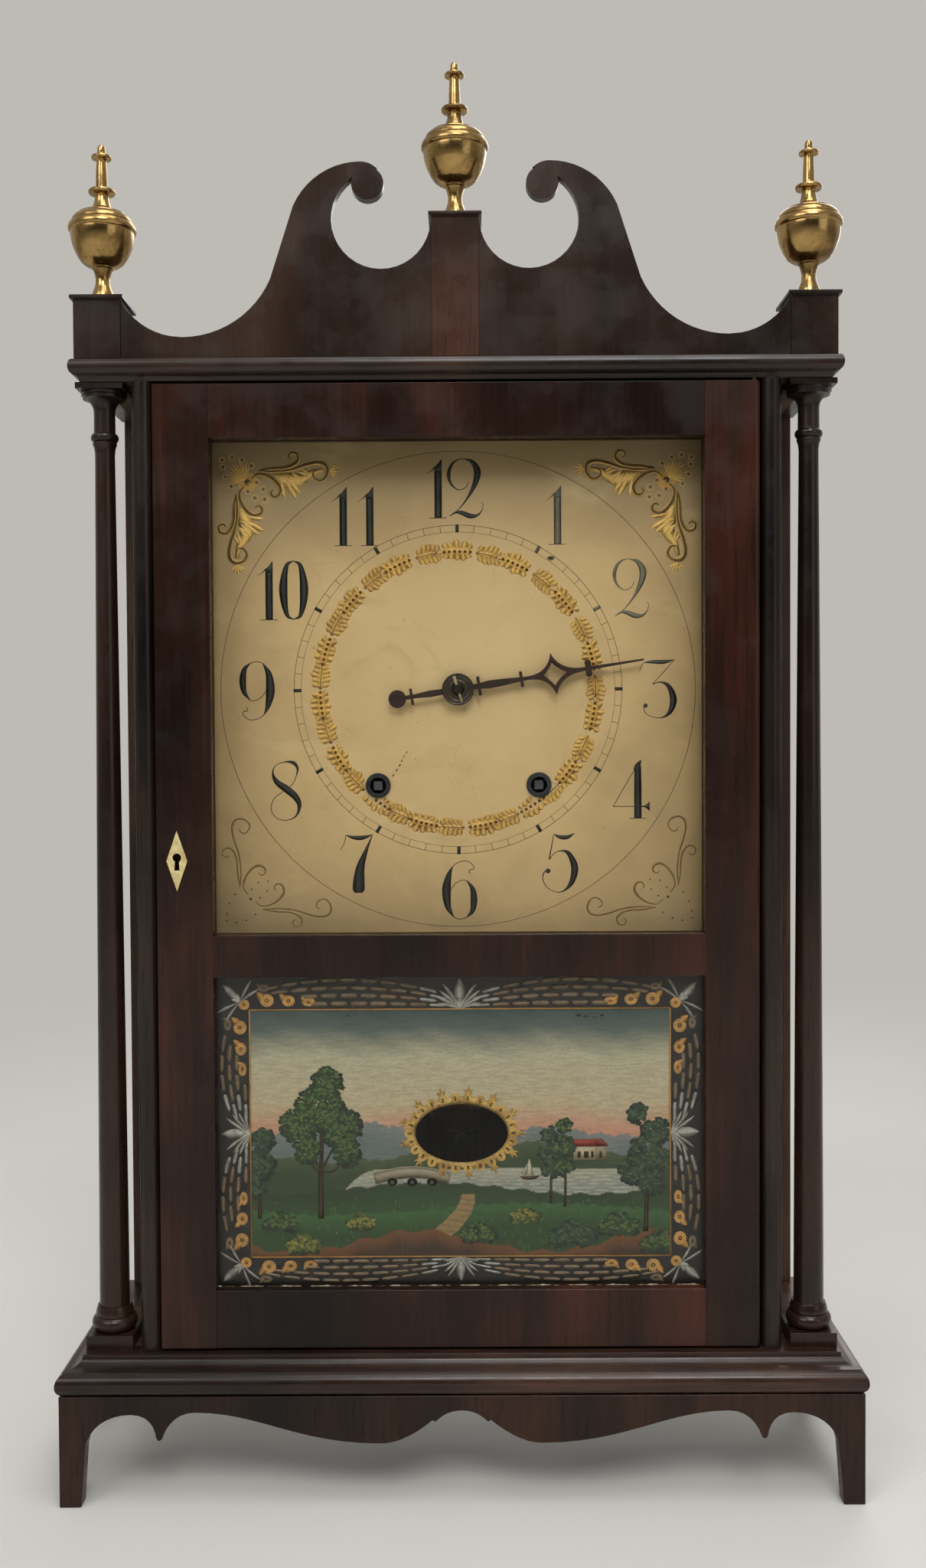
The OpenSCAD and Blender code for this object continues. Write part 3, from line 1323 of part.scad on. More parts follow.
base_board();
base_moulding();
front_skirt();
side_skirts();
glue_blocks();
backboard();
side_left();
side_right();
stile_beads();
top_board();
cornice_moulding();
column_left();
column_right();
crest_board();
crest_plinths();
side_finials();
finial_centre();
door_stile_left();
door_stile_right();
door_rails();
dial_glass();
tablet_glass();
glass_stops();
escutcheon();
lock_case();
lock_bolt();
hinge_pins();
dial_board();
dial_cleats();
winding_grommets();
hour_hand();
minute_hand();
front_plate();
back_plate();
plate_pillars();
time_great_wheel();
time_drum();
centre_arbor();
third_wheel();
escape_wheel();
minute_wheel();
hour_wheel();
verge();
suspension_cock();
pendulum();
strike_great_wheel();
strike_drum();
pin_wheel();
fly();
count_wheel();
strike_lever();
hammer();
bell();
time_weight();
strike_weight();
pulley_time();
pulley_strike();
cord_runs();
time_cord_drop();
strike_cord_drop();
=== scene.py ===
"""Looks of a wooden shelf clock with a scroll crest, two pillars and a painted tablet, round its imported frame."""

import json
import logging
import math
from dataclasses import dataclass, field, replace
from enum import Enum
from typing import ClassVar

import bmesh
import bpy
import numpy as np
from mathutils import Matrix, Vector

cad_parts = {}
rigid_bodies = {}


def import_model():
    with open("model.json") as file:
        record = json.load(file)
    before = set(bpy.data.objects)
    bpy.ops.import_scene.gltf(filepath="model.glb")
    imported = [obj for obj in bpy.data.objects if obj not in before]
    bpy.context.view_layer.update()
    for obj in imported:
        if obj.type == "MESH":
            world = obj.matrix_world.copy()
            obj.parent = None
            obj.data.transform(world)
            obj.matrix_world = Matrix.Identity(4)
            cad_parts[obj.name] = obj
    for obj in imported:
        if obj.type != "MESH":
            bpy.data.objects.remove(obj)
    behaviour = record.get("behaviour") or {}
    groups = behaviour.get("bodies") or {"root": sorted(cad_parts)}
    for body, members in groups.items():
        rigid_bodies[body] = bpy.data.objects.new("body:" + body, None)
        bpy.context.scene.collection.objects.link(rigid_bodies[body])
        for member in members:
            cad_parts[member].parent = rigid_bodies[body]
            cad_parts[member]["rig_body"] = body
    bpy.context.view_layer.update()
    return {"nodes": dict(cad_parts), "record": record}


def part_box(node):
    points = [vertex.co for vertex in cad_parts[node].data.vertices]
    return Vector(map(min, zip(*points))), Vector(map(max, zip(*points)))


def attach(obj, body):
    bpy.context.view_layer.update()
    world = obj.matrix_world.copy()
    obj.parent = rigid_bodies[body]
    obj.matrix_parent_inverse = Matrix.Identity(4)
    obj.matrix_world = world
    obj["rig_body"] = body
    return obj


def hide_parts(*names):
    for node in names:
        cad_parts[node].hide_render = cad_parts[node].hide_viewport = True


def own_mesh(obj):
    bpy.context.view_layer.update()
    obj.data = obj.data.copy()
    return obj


MM = 0.001
log = logging.getLogger("clock")

Colour = tuple[int, int, int]
Pair = tuple[float, float]
Triple = tuple[float, float, float]
Box = tuple[float, float, float, float]
Knots = list[Triple]
Socket = bpy.types.NodeSocket


def tone(red: int, green: int, blue: int) -> tuple[float, float, float, float]:
    """A screen colour of 0 to 255 as the linear colour that shaders use.

    Args:
        red: red of the colour on screen.
        green: green of the colour on screen.
        blue: blue of the colour on screen.

    Returns:
        Linear red, green, blue and an alpha of 1.
    """
    level = np.array([red, green, blue]) / 255.0
    linear = np.where(level <= 0.04045, level / 12.92, ((level + 0.055) / 1.055) ** 2.4)
    return (*linear.tolist(), 1.0)


def tones(colours: list[Colour]) -> np.ndarray:
    """Several screen colours as rows of linear red, green and blue."""
    return np.array([tone(*c)[:3] for c in colours])


# Finishes


class Nodes:
    """A node tree, with a short call for each kind of node used here."""

    def __init__(self, tree: bpy.types.NodeTree, output: str) -> None:
        """Empties a tree and gives it its output.

        Args:
            tree: the node tree of a material or of the surrounding.
            output: kind of its output node.
        """
        self.tree = tree
        self.tree.nodes.clear()
        self.output = self.node(output).inputs["Surface"]

    def node(self, kind: str, *values: object, **settings: object) -> bpy.types.Node:
        """Adds a node and feeds its inputs in their order.

        Args:
            kind: kind of the node.
            values: outputs or plain values; None leaves an input alone.
            settings: its properties by name.

        Returns:
            The node.
        """
        made = self.tree.nodes.new(kind)
        for key, value in settings.items():
            setattr(made, key, value)
        for socket, value in zip(made.inputs, values):
            self.feed(socket, value)
        return made

    def feed(self, socket: Socket, value: object) -> None:
        """Links a socket to an output, or sets its value.

        Args:
            socket: the input.
            value: an output, a plain value, or None to leave the input alone.
        """
        if isinstance(value, Socket):
            self.tree.links.new(value, socket)
        elif value is not None:
            socket.default_value = value

    def ramp(self, level: Socket, stops: list[tuple[float, Colour]]) -> Socket:
        """A colour for each level.

        Args:
            level: a value from 0 to 1.
            stops: pairs of level and screen colour.

        Returns:
            The colour output.
        """
        made = self.node("ShaderNodeValToRGB")
        self.feed(made.inputs["Fac"], level)
        band = made.color_ramp.elements
        while len(band) < len(stops):
            band.new(0.5)
        for element, (level_at, colour) in zip(band, stops):
            element.position = level_at
            element.color = tone(*colour)
        return made.outputs["Color"]

    def named(self, kind: str, result: str, values: dict[str, object], **settings: object) -> Socket:
        """Adds a node and feeds its inputs by name.

        Args:
            kind: kind of the node.
            result: name of the output that is used.
            values: the values of its inputs by name.
            settings: its properties by name.

        Returns:
            The output.
        """
        made = self.node(kind, **settings)
        for name, value in values.items():
            self.feed(made.inputs[name], value)
        return made.outputs[result]

    def mix(self, share: object, first: object, second: object) -> Socket:
        """Mixes two colours by the share of the second one."""
        values = share, *[None] * 5, first, second
        return self.node("ShaderNodeMix", *values, data_type="RGBA", clamp_factor=True).outputs[2]

    def maths(self, what: str, *values: object) -> Socket:
        """One arithmetic step on up to three outputs or numbers."""
        return self.node("ShaderNodeMath", *values, operation=what).outputs[0]

    def reach(self, across: Socket, up: Socket) -> Socket:
        """The length of two steps at right angles: the root of the sum of their squares."""
        squares = [self.maths("MULTIPLY", way, way) for way in (across, up)]
        return self.maths("SQRT", self.maths("ADD", *squares))

    def span(self, level: Socket, low: float, high: float, start: float = 0, end: float = 1) -> Socket:
        """Maps levels from low to high smoothly to values from start to end, with no change beyond them."""
        made = self.node("ShaderNodeMapRange", level, low, high, start, end, interpolation_type="SMOOTHSTEP")
        return made.outputs[0]

    def axes(self, vector: Socket) -> list[Socket]:
        """The x, y and z of a vector."""
        return list(self.node("ShaderNodeSeparateXYZ", vector).outputs)

    def blend(self, share: Socket, first: Socket, second: Socket) -> None:
        """Closes the tree with a mixture of two shaders by the share of the second one."""
        self.feed(self.output, self.node("ShaderNodeMixShader", share, first, second).outputs[0])


class Graph(Nodes):
    """The node tree of one material, with its textures, relief and surface."""

    def __init__(self, name: str) -> None:
        """Makes an empty material.

        Args:
            name: the material's name.
        """
        self.material = bpy.data.materials.new(name)
        self.material.use_nodes = True
        super().__init__(self.material.node_tree, "ShaderNodeOutputMaterial")
        self.place = self.node("ShaderNodeTexCoord").outputs["Object"]

    def spot(self, scale: Triple = (1, 1, 1), turn: Triple = (0, 0, 0), move: Triple = (0, 0, 0)) -> Socket:
        """Object coordinates moved, turned and stretched.

        Args:
            scale: stretch along x, y and z.
            turn: turn about x, y and z in degrees.
            move: shift in metres after the stretch.

        Returns:
            The changed coordinates.
        """
        radians = tuple(math.radians(a) for a in turn)
        values = {"Vector": self.place, "Scale": scale, "Rotation": radians, "Location": move}
        return self.named("ShaderNodeMapping", "Vector", values)

    def noise(self, where: Socket, scale: float, detail: float = 4, rough: float = 0.55, bend: float = 0) -> Socket:
        """Cloudy noise from 0 to 1: clouds to a metre, finer layers, their share, and how far they are bent."""
        values = {"Vector": where, "Scale": scale, "Detail": detail, "Roughness": rough, "Distortion": bend}
        return self.named("ShaderNodeTexNoise", "Fac", values)

    def cells(self, where: Socket, scale: float) -> Socket:
        """Distance to the edge between the cells round scattered points."""
        values = {"Vector": where, "Scale": scale}
        return self.named("ShaderNodeTexVoronoi", "Distance", values, feature="DISTANCE_TO_EDGE")

    def bands(self, where: Socket, scale: float, bend: float) -> Socket:
        """Slanting sine bands, bent by noise."""
        values = {"Vector": where, "Scale": scale, "Distortion": bend, "Detail": 3}
        return self.named("ShaderNodeTexWave", "Fac", values, bands_direction="DIAGONAL")

    def facing(self) -> list[Socket]:
        """The x, y and z of the surface's own direction."""
        return self.axes(self.node("ShaderNodeNewGeometry").outputs["Normal"])

    def bump(self, height: Socket, depth: float, strength: float) -> Socket:
        """The surface direction bent by a relief: its levels, the depth of a whole one in metres, its strength."""
        values = {"Height": height, "Distance": depth, "Strength": strength}
        return self.named("ShaderNodeBump", "Normal", values)

    def surface(self, colour: object, rough: object, normal: Socket | None, **fixed: float) -> bpy.types.Material:
        """Closes the material with one shader.

        Args:
            colour: base colour, linked or set.
            rough: roughness, linked or set.
            normal: bent surface direction, if any.
            fixed: values of other sockets, by their names with _ for a space.

        Returns:
            The material.
        """
        values = {"Base_Color": colour, "Roughness": rough, "Normal": normal, **fixed}
        values = {name.replace("_", " "): value for name, value in values.items()}
        self.feed(self.output, self.named("ShaderNodeBsdfPrincipled", "BSDF", values))
        return self.material


class Grain(Enum):
    """Which way the fibres of a board run."""

    ALONG_X = "x"
    ALONG_Y = "y"
    ALONG_Z = "z"
    SLANT = "slant"
    ROUND_FRONT = "mitred"


class Finish:
    """A finish that makes its material once and hands out the same one again.

    Each kind has a name, a slot of the record and a way to build its material.
    """

    made: ClassVar[dict[str, bpy.types.Material]] = {}

    def build(self) -> bpy.types.Material:
        """Makes the material."""
        raise NotImplementedError

    def material(self) -> bpy.types.Material:
        """The material of this finish."""
        if self.name not in Finish.made:
            Finish.made[self.name] = self.build()
        return Finish.made[self.name]


@dataclass(frozen=True)
class Wood(Finish):
    """Varnished or bare wood: fibres, broad figure, pores and rubbed patches."""

    name: str
    slot: str
    dark: Colour
    middle: Colour
    light: Colour
    grain: Grain = Grain.ALONG_Z
    rough: float = 0.27
    coat: float = 0.05
    figure: float = 16
    pores: float = 1
    corner: float = 0
    strip_half: float = 0
    strip: Colour = (0, 0, 0)
    strip_fade: Pair = (0.65, 0.692)
    slant: float = 28

    def lay(self, g: Graph, slow: float) -> Socket:
        """Coordinates that run fast across the fibres and slowly along them.

        Args:
            g: the material's nodes.
            slow: stretch along the fibres, where it is 1 across them.

        Returns:
            The coordinates.
        """
        across = {Grain.ALONG_X: (slow, 1, 1), Grain.ALONG_Y: (1, slow, 1), Grain.ALONG_Z: (1, 1, slow)}
        if self.grain is Grain.SLANT:
            return g.spot(across[Grain.ALONG_Z], (0, self.slant, 0))
        if self.grain is Grain.ROUND_FRONT:
            x, y, _ = g.axes(g.place)
            side = g.maths("GREATER_THAN", g.maths("ADD", g.maths("ABSOLUTE", x), y), self.corner)
            ways = g.spot(across[Grain.ALONG_X]), g.spot(across[Grain.ALONG_Y])
            return g.node("ShaderNodeMix", side, *[None] * 3, *ways, data_type="VECTOR").outputs[1]
        return g.spot(across[self.grain])

    def build(self) -> bpy.types.Material:
        """Makes the wood from a broad figure, streaks of fibre and short dark pores.

        Returns:
            The material.
        """
        g = Graph(self.name)
        figure = g.noise(self.lay(g, 0.22), self.figure, 3, 0.5, 0.6)
        streak = g.noise(self.lay(g, 0.035), 420, 5, 0.6, 0.2)
        pore = g.noise(self.lay(g, 0.03), 1500, 2, 0.5)
        cloud = g.noise(g.spot((1, 1, 0.6), (0, 35, 0)), 9, 3, 0.5, 0.8)
        level = g.maths("MULTIPLY_ADD", g.maths("SUBTRACT", streak, 0.5), 0.32, figure)
        level = g.maths("MULTIPLY_ADD", g.maths("SUBTRACT", cloud, 0.5), 0.55, level)
        colour = g.ramp(level, [(0.28, self.dark), (0.5, self.middle), (0.76, self.light)])
        if self.strip_half:
            x, _, z = g.axes(g.place)
            near = g.span(g.maths("ABSOLUTE", x), self.strip_half - 0.0006, self.strip_half, 1, 0)
            near = g.maths("MULTIPLY", near, g.span(z, *self.strip_fade, 1, 0.3))
            red = g.ramp(level, [(0.3, tuple(int(c * 0.7) for c in self.strip)), (0.7, self.strip)])
            colour = g.mix(near, colour, red)
        dark_pore = g.span(pore, 0.30, 0.42, 0.75 * self.pores, 0)
        colour = g.mix(dark_pore, colour, tone(*(int(c * 0.45) for c in self.dark)))
        rub = g.noise(g.spot(), 38, 3, 0.6)
        rubbed = g.span(rub, 0.35, 0.7, self.rough - 0.06, self.rough + 0.12)
        rough = g.maths("ADD", rubbed, g.maths("MULTIPLY", dark_pore, 0.15))
        height = g.maths("ADD", g.maths("MULTIPLY", streak, 0.4), g.maths("MULTIPLY", pore, 0.6))
        return g.surface(colour, rough, g.bump(height, 0.00005, 0.5 * self.pores), Coat_Weight=self.coat,
                         Coat_Roughness=0.12, Specular_IOR_Level=0.22)


@dataclass(frozen=True)
class Metal(Finish):
    """Metal with turned or rubbed lines, tarnish in patches and small pits."""

    name: str
    slot: str
    bright: Colour
    dull: Colour
    rough: float
    tarnish: float = 0.5
    metallic: float = 1.0
    lines: Triple = (1, 1, 8)

    def build(self) -> bpy.types.Material:
        """Makes the metal: clouds choose bright or dull, fine lines and pits move the relief.

        Returns:
            The material.
        """
        g = Graph(self.name)
        cloud = g.noise(g.spot(), 60, 5, 0.62, 0.4)
        fine = g.noise(g.spot(self.lines), 900, 3, 0.5)
        patch = g.span(cloud, 0.62 - 0.3 * self.tarnish, 0.78, 0, 1)
        colour = g.mix(patch, tone(*self.bright), tone(*self.dull))
        pit = g.span(g.noise(g.spot(), 420, 2), 0.30, 0.36, 0.45, 0)
        colour = g.mix(pit, colour, tone(*(int(c * 0.55) for c in self.dull)))
        turned_lines = g.span(fine, 0.3, 0.7, self.rough - 0.04, self.rough + 0.05)
        rough = g.maths("ADD", g.maths("MULTIPLY", patch, 0.16), turned_lines)
        return g.surface(colour, rough, g.bump(fine, 0.00002, 0.35), Metallic=self.metallic)


@dataclass(frozen=True)
class Plain(Finish):
    """A dull or glossy paint-like finish with mottling, specks and slight relief."""

    name: str
    slot: str
    main: Colour
    other: Colour
    rough: float = 0.6
    scale: float = 140
    depth: float = 0.00004

    def build(self) -> bpy.types.Material:
        """Makes the finish from two sizes of clouds between its two colours.

        Returns:
            The material.
        """
        g = Graph(self.name)
        cloud = g.noise(g.spot(), self.scale, 5, 0.6, 0.3)
        speck = g.noise(g.spot(), self.scale * 7, 2, 0.5)
        level = g.maths("MULTIPLY_ADD", g.maths("SUBTRACT", speck, 0.5), 0.5, cloud)
        colour = g.mix(g.span(level, 0.35, 0.68), tone(*self.main), tone(*self.other))
        rough = g.span(speck, 0.3, 0.7, self.rough - 0.06, self.rough + 0.06)
        return g.surface(colour, rough, g.bump(level, self.depth, 0.6))


@dataclass(frozen=True)
class Pane(Finish):
    """Old clear window glass: seen through, with a weak wavy reflection."""

    name: str = "old clear glass"
    slot: str = "clear_glass"
    tint: Colour = (254, 254, 252)
    gloss: float = 0.3
    bending: float = 1.46

    def build(self) -> bpy.types.Material:
        """Makes the glass: Fresnel shares light between passing through and a wavy gloss.

        Returns:
            The material.
        """
        g = Graph(self.name)
        wave = g.bump(g.noise(g.spot((1, 1, 0.7)), 16, 2, 0.5, 0.5), 0.0016, 0.35)
        clear = g.named("ShaderNodeBsdfTransparent", "BSDF", {"Color": tone(*self.tint)})
        gloss = g.named("ShaderNodeBsdfGlossy", "BSDF", {"Roughness": 0.03, "Normal": wave})
        edge = g.named("ShaderNodeFresnel", "Fac", {"IOR": self.bending})
        g.blend(g.maths("MULTIPLY", edge, self.gloss), clear, gloss)
        return g.material


@dataclass(frozen=True)
class DialPaint(Finish):
    """Aged cream paint on the front of the dial board, bare pine on its back and edges."""

    name: str = "aged dial paint"
    slot: str = "painted_dial"
    centre_z: float = 0.4445

    def build(self) -> bpy.types.Material:
        """Makes the paint: a warm middle, browner rim, a darker top painted as shade, stains, fine cracks and a
        rubbed trail.

        Returns:
            The material.
        """
        g = Graph(self.name)
        x, _, z = g.axes(g.place)
        up = g.maths("SUBTRACT", z, self.centre_z)
        away = g.reach(x, up)
        cloud = g.noise(g.spot(), 14, 5, 0.6, 0.5)
        mottle = g.maths("MULTIPLY", g.maths("SUBTRACT", cloud, 0.5), 0.7)
        level = g.maths("ADD", g.maths("MULTIPLY", away, 4.6), mottle)
        colour = g.ramp(level, [(0.05, (210, 184, 136)), (0.38, (200, 172, 124)), (0.62, (178, 152, 108)),
                                (0.9, (150, 128, 90))])
        # Painted shade: the top of the dial is darkened towards grey-brown, standing in for the shadow under the
        # door's top rail.
        colour = g.mix(g.span(up, 0.05, 0.135, 0, 0.55), colour, tone(132, 112, 82))
        stain = g.span(g.noise(g.spot((1, 1, 1.6), (0, 20, 0)), 22, 6, 0.65, 0.8), 0.54, 0.74, 0, 0.3)
        colour = g.mix(stain, colour, tone(158, 134, 84))
        trail = g.spot((1, 1, 2.4), (0, -35, 0), (0.3, 0, 0.1))
        smear = g.span(g.noise(trail, 12, 4, 0.6, 0.4), 0.58, 0.75, 0, 0.35)
        colour = g.mix(smear, colour, tone(214, 196, 150))
        crack = g.span(g.cells(g.spot(), 55), 0.0, 0.006, 1, 0)
        some = g.span(g.noise(g.spot(), 9, 2), 0.5, 0.62, 0, 0.4)
        crack = g.maths("MULTIPLY", crack, some)
        colour = g.mix(crack, colour, tone(120, 96, 60))
        specks = g.span(g.noise(g.spot(), 520, 2), 0.73, 0.78, 0, 0.6)
        colour = g.mix(specks, colour, tone(105, 80, 45))
        pine = g.ramp(g.noise(g.spot((1, 1, 0.05)), 260, 4), [(0.35, (150, 112, 70)), (0.7, (188, 148, 98))])
        front = g.span(g.facing()[1], -0.7, -0.5, 1, 0)
        colour = g.mix(front, pine, colour)
        rough = g.span(g.noise(g.spot(), 70, 4), 0.3, 0.7, 0.42, 0.6)
        height = g.maths("SUBTRACT", g.noise(g.spot(), 190, 5), crack)
        return g.surface(colour, rough, g.bump(height, 0.00005, 0.6))


@dataclass(frozen=True)
class DialInk(Finish):
    """The black of the figures, worn to grey towards the upper right of the dial."""

    name: str = "numeral black"
    slot: str = "painted_dial"
    worn_at: Pair = (0.085, 0.515)

    def build(self) -> bpy.types.Material:
        """Makes the paint: black with thin places, greyer near one place of the dial.

        Returns:
            The material.
        """
        g = Graph(self.name)
        x, _, z = g.axes(g.place)
        across, up = g.maths("SUBTRACT", x, self.worn_at[0]), g.maths("SUBTRACT", z, self.worn_at[1])
        away = g.reach(across, up)
        cloud = g.noise(g.spot(), 90, 4, 0.6, 0.4)
        colour = g.mix(g.span(cloud, 0.35, 0.7), tone(24, 26, 22), tone(38, 40, 35))
        worn = g.maths("MULTIPLY", g.span(away, 0.02, 0.085, 1, 0), g.span(cloud, 0.2, 0.6, 0.35, 0.75))
        colour = g.mix(worn, colour, tone(128, 122, 104))
        return g.surface(colour, g.span(cloud, 0.3, 0.7, 0.45, 0.6), g.bump(cloud, 0.00002, 0.4))


@dataclass(frozen=True)
class PinnedIron(Finish):
    """The dark arbor of the hands, with its pale taper pin: all that lies before a plane and away from the axis."""

    axis_z: float
    plane_y: float
    name: str = "pinned iron arbor"
    slot: str = "black_iron"
    reach: float = 0.0026

    def build(self) -> bpy.types.Material:
        """Makes the iron and the pin, told apart by place, both with fine lines.

        Returns:
            The material.
        """
        g = Graph(self.name)
        x, y, z = g.axes(g.place)
        up = g.maths("SUBTRACT", z, self.axis_z)
        away = g.reach(x, up)
        pin = g.maths("MULTIPLY", g.maths("GREATER_THAN", away, self.reach), g.maths("LESS_THAN", y, self.plane_y))
        cloud = g.noise(g.spot(), 300, 4, 0.6)
        iron = g.mix(cloud, tone(58, 52, 46), tone(34, 29, 26))
        pale = g.mix(cloud, tone(214, 200, 168), tone(168, 150, 112))
        fine = g.noise(g.spot((1, 1, 6)), 1200, 3)
        rough = g.span(fine, 0.3, 0.7, 0.34, 0.46)
        return g.surface(g.mix(pin, iron, pale), rough, g.bump(fine, 0.00002, 0.4), Metallic=0.6)


@dataclass(frozen=True)
class IronNosed(Finish):
    """Turned cherry whose front end, before a plane, is a squared iron arbor."""

    plane_y: float
    name: str = "drum with iron nose"
    slot: str = "movement_wood"

    def build(self) -> bpy.types.Material:
        """Makes wood and iron, told apart by place, with streaks round the drum.

        Returns:
            The material.
        """
        g = Graph(self.name)
        _, y, _ = g.axes(g.place)
        nose = g.maths("LESS_THAN", y, self.plane_y)
        streak = g.noise(g.spot((1, 0.06, 1)), 240, 4, 0.6)
        wood = g.ramp(streak, list(zip((0.3, 0.5, 0.72), CHERRY_TONES)))
        iron = g.mix(streak, tone(48, 50, 54), tone(78, 80, 84))
        rough = g.span(streak, 0.3, 0.7, 0.42, 0.56)
        return g.surface(g.mix(nose, wood, iron), rough, g.bump(streak, 0.00004, 0.4))


@dataclass(frozen=True)
class Tinted(Finish):
    """Paint whose colour each piece brings as its own tint attribute, streaked by the brush."""

    name: str = "brushed picture paint"
    slot: str = "painted_glass"
    rough: float = 0.5

    def build(self) -> bpy.types.Material:
        """Makes the paint: the tint, lightened and darkened by level brush streaks and dabs.

        Returns:
            The material.
        """
        g = Graph(self.name)
        tint = g.node("ShaderNodeAttribute", attribute_name="tint").outputs["Color"]
        streak = g.noise(g.spot((0.25, 1, 1.6)), 620, 4, 0.6, 0.3)
        dab = g.noise(g.spot(), 900, 3, 0.6)
        level = g.maths("ADD", g.maths("MULTIPLY", streak, 0.6), g.maths("MULTIPLY", dab, 0.4))
        shade = g.span(level, 0.3, 0.7, 0.56, 0.86)
        shaded = g.named("ShaderNodeVectorMath", "Vector", {"Vector": tint, "Scale": shade}, operation="SCALE")
        return g.surface(shaded, self.rough, g.bump(dab, 0.00003, 0.4))


@dataclass(frozen=True)
class Twine(Finish):
    """Laid cord: slanting strands with fibre between them."""

    name: str = "laid cord"
    slot: str = "cord"

    def build(self) -> bpy.types.Material:
        """Makes the strands as slanting bands in the object's own coordinates.

        Returns:
            The material.
        """
        g = Graph(self.name)
        strand = g.bands(g.spot(), 260, 0.4)
        fibre = g.noise(g.spot((1, 1, 0.4)), 1500, 3)
        colour = g.ramp(g.maths("MULTIPLY_ADD", fibre, 0.4, g.maths("MULTIPLY", strand, 0.6)),
                        [(0.15, (92, 74, 48)), (0.5, (150, 128, 90)), (0.85, (190, 170, 128))])
        return g.surface(colour, 0.9, g.bump(strand, 0.0003, 0.8))


RED_BROWN = ((19, 11, 8), (37, 23, 16), (60, 36, 25))
VENEER = ((18, 10, 8), (37, 21, 15), (70, 36, 25))
CREST = ((26, 17, 12), (40, 28, 21), (58, 40, 30))
STRIP = (70, 43, 31)
DARKENED_PINE_TONES = ((36, 24, 16), (58, 40, 27), (84, 60, 42))
CHERRY_TONES = ((120, 72, 40), (160, 104, 62), (188, 134, 86))
MAHOGANY_UP = Wood("upright mahogany", "mahogany", *RED_BROWN)
MAHOGANY_BACK = Wood("side mahogany", "mahogany", *RED_BROWN, Grain.ALONG_Y)
BASE_WOOD = Wood("base moulding mahogany", "mahogany", (26, 16, 12), (48, 32, 25), (80, 54, 42), Grain.ROUND_FRONT,
                 0.3, 0.2)
CORNICE_WOOD = Wood("cornice mahogany", "mahogany", (26, 17, 13), (48, 35, 28), (74, 54, 43), Grain.ROUND_FRONT,
                    0.3, 0.2)
CREST_WOOD = Wood("crest mahogany", "crest_mahogany", *CREST, strip_half=0.0128, strip=STRIP)
PLINTH_WOOD = Wood("plinth mahogany", "crest_mahogany", *CREST, strip_half=0.0129, strip=STRIP)
COLUMN_WOOD = Wood("turned column wood", "column_wood", (18, 11, 8), (33, 21, 15), (54, 34, 25), coat=0.2)
DOOR_SLANT = Wood("slanting door veneer", "door_veneer", *VENEER, Grain.SLANT, figure=13)
DOOR_UP = Wood("upright door veneer", "door_veneer", *VENEER, figure=13)
BEAD_WOOD = Wood("half round bead wood", "mahogany", (18, 13, 11), (34, 27, 22), (54, 43, 35))
BACK_WOOD = Wood("backboard wood", "mahogany", (34, 24, 18), (58, 42, 32), (86, 64, 48), rough=0.6, coat=0)
# Pine darkened as painted shade for the base and top boards and glue blocks, which sit in shadow under and inside
# the case; the glass stops use it too.
DARKENED_PINE = Wood("darkened pine", "pine", *DARKENED_PINE_TONES, rough=0.66, coat=0, figure=24)
DARKENED_PINE_LEVEL = Wood("darkened pine lying level", "pine", *DARKENED_PINE_TONES, Grain.ALONG_X, 0.66, 0, 24)
PINE = Wood("old pine", "pine", (112, 80, 46), (150, 112, 68), (184, 146, 96), rough=0.66, coat=0, figure=24)
CHERRY = Wood("movement cherry", "movement_wood", *CHERRY_TONES, rough=0.5, coat=0, figure=30)
PLATE_WOOD = Wood("movement plate oak", "movement_wood", (118, 84, 50), (154, 116, 74), (182, 146, 100), rough=0.58,
                  coat=0, figure=26)
BRASS = Metal("polished aged brass", "brass", (174, 143, 90), (98, 75, 44), 0.18, 0.8)
BELL_BRASS = Metal("bell brass", "bell_brass", (200, 166, 92), (132, 98, 50), 0.3, 0.6)
PLAIN_BRASS = Metal("dull movement brass", "brass", (190, 156, 88), (126, 96, 50), 0.32, 0.6)
HAND_IRON = Metal("browned hand iron", "black_iron", (58, 42, 36), (38, 28, 24), 0.44, 0.5, 0.4)
HUB_IRON = Metal("dark hub iron", "black_iron", (70, 62, 54), (36, 32, 29), 0.4, 0.5, 0.7)
IRON = Metal("grey iron", "iron", (112, 110, 106), (70, 60, 52), 0.42, 0.7)
DARK_PIN = Metal("dark hinge pin", "iron", (66, 56, 44), (40, 33, 27), 0.46, 0.7)
LEAD = Metal("dull lead", "lead", (70, 72, 76), (42, 42, 44), 0.42, 0.5, 0.8)
BONE = Plain("old bone", "bone", (214, 200, 146), (180, 162, 106), 0.4, 60)
GILT = Plain("worn gilding", "painted_dial", (214, 172, 92), (188, 148, 80), 0.4, 90)
PALE_GILT = Metal("pale gilding", "painted_dial", (232, 192, 112), (200, 158, 84), 0.42, 0.35, 0.15, (1, 1, 1))
BROWN_GOLD = Plain("brown gold line", "painted_dial", (98, 74, 40), (74, 54, 30), 0.45, 220)
DOT_GOLD = Metal("raised gold dot", "painted_dial", (132, 94, 42), (84, 60, 28), 0.3, 0.4, 0.6, (1, 1, 1))
FAINT_LINE = Plain("faint scroll line", "painted_dial", (144, 112, 60), (112, 86, 44), 0.5, 220)
LINE_INK = Plain("fine line black", "painted_dial", (96, 82, 56), (70, 60, 42), 0.55, 220)
BLACK_GROUND = Plain("black tablet ground", "painted_glass", (15, 12, 10), (24, 19, 16), 0.5, 60)
LEAF_GOLD = Plain("gold of the tablet drops", "painted_glass", (190, 142, 74), (150, 112, 62), 0.42, 160)
LEAF_BRONZE = Plain("bronze of the tablet bars", "painted_glass", (124, 104, 80), (96, 82, 64), 0.45, 160)
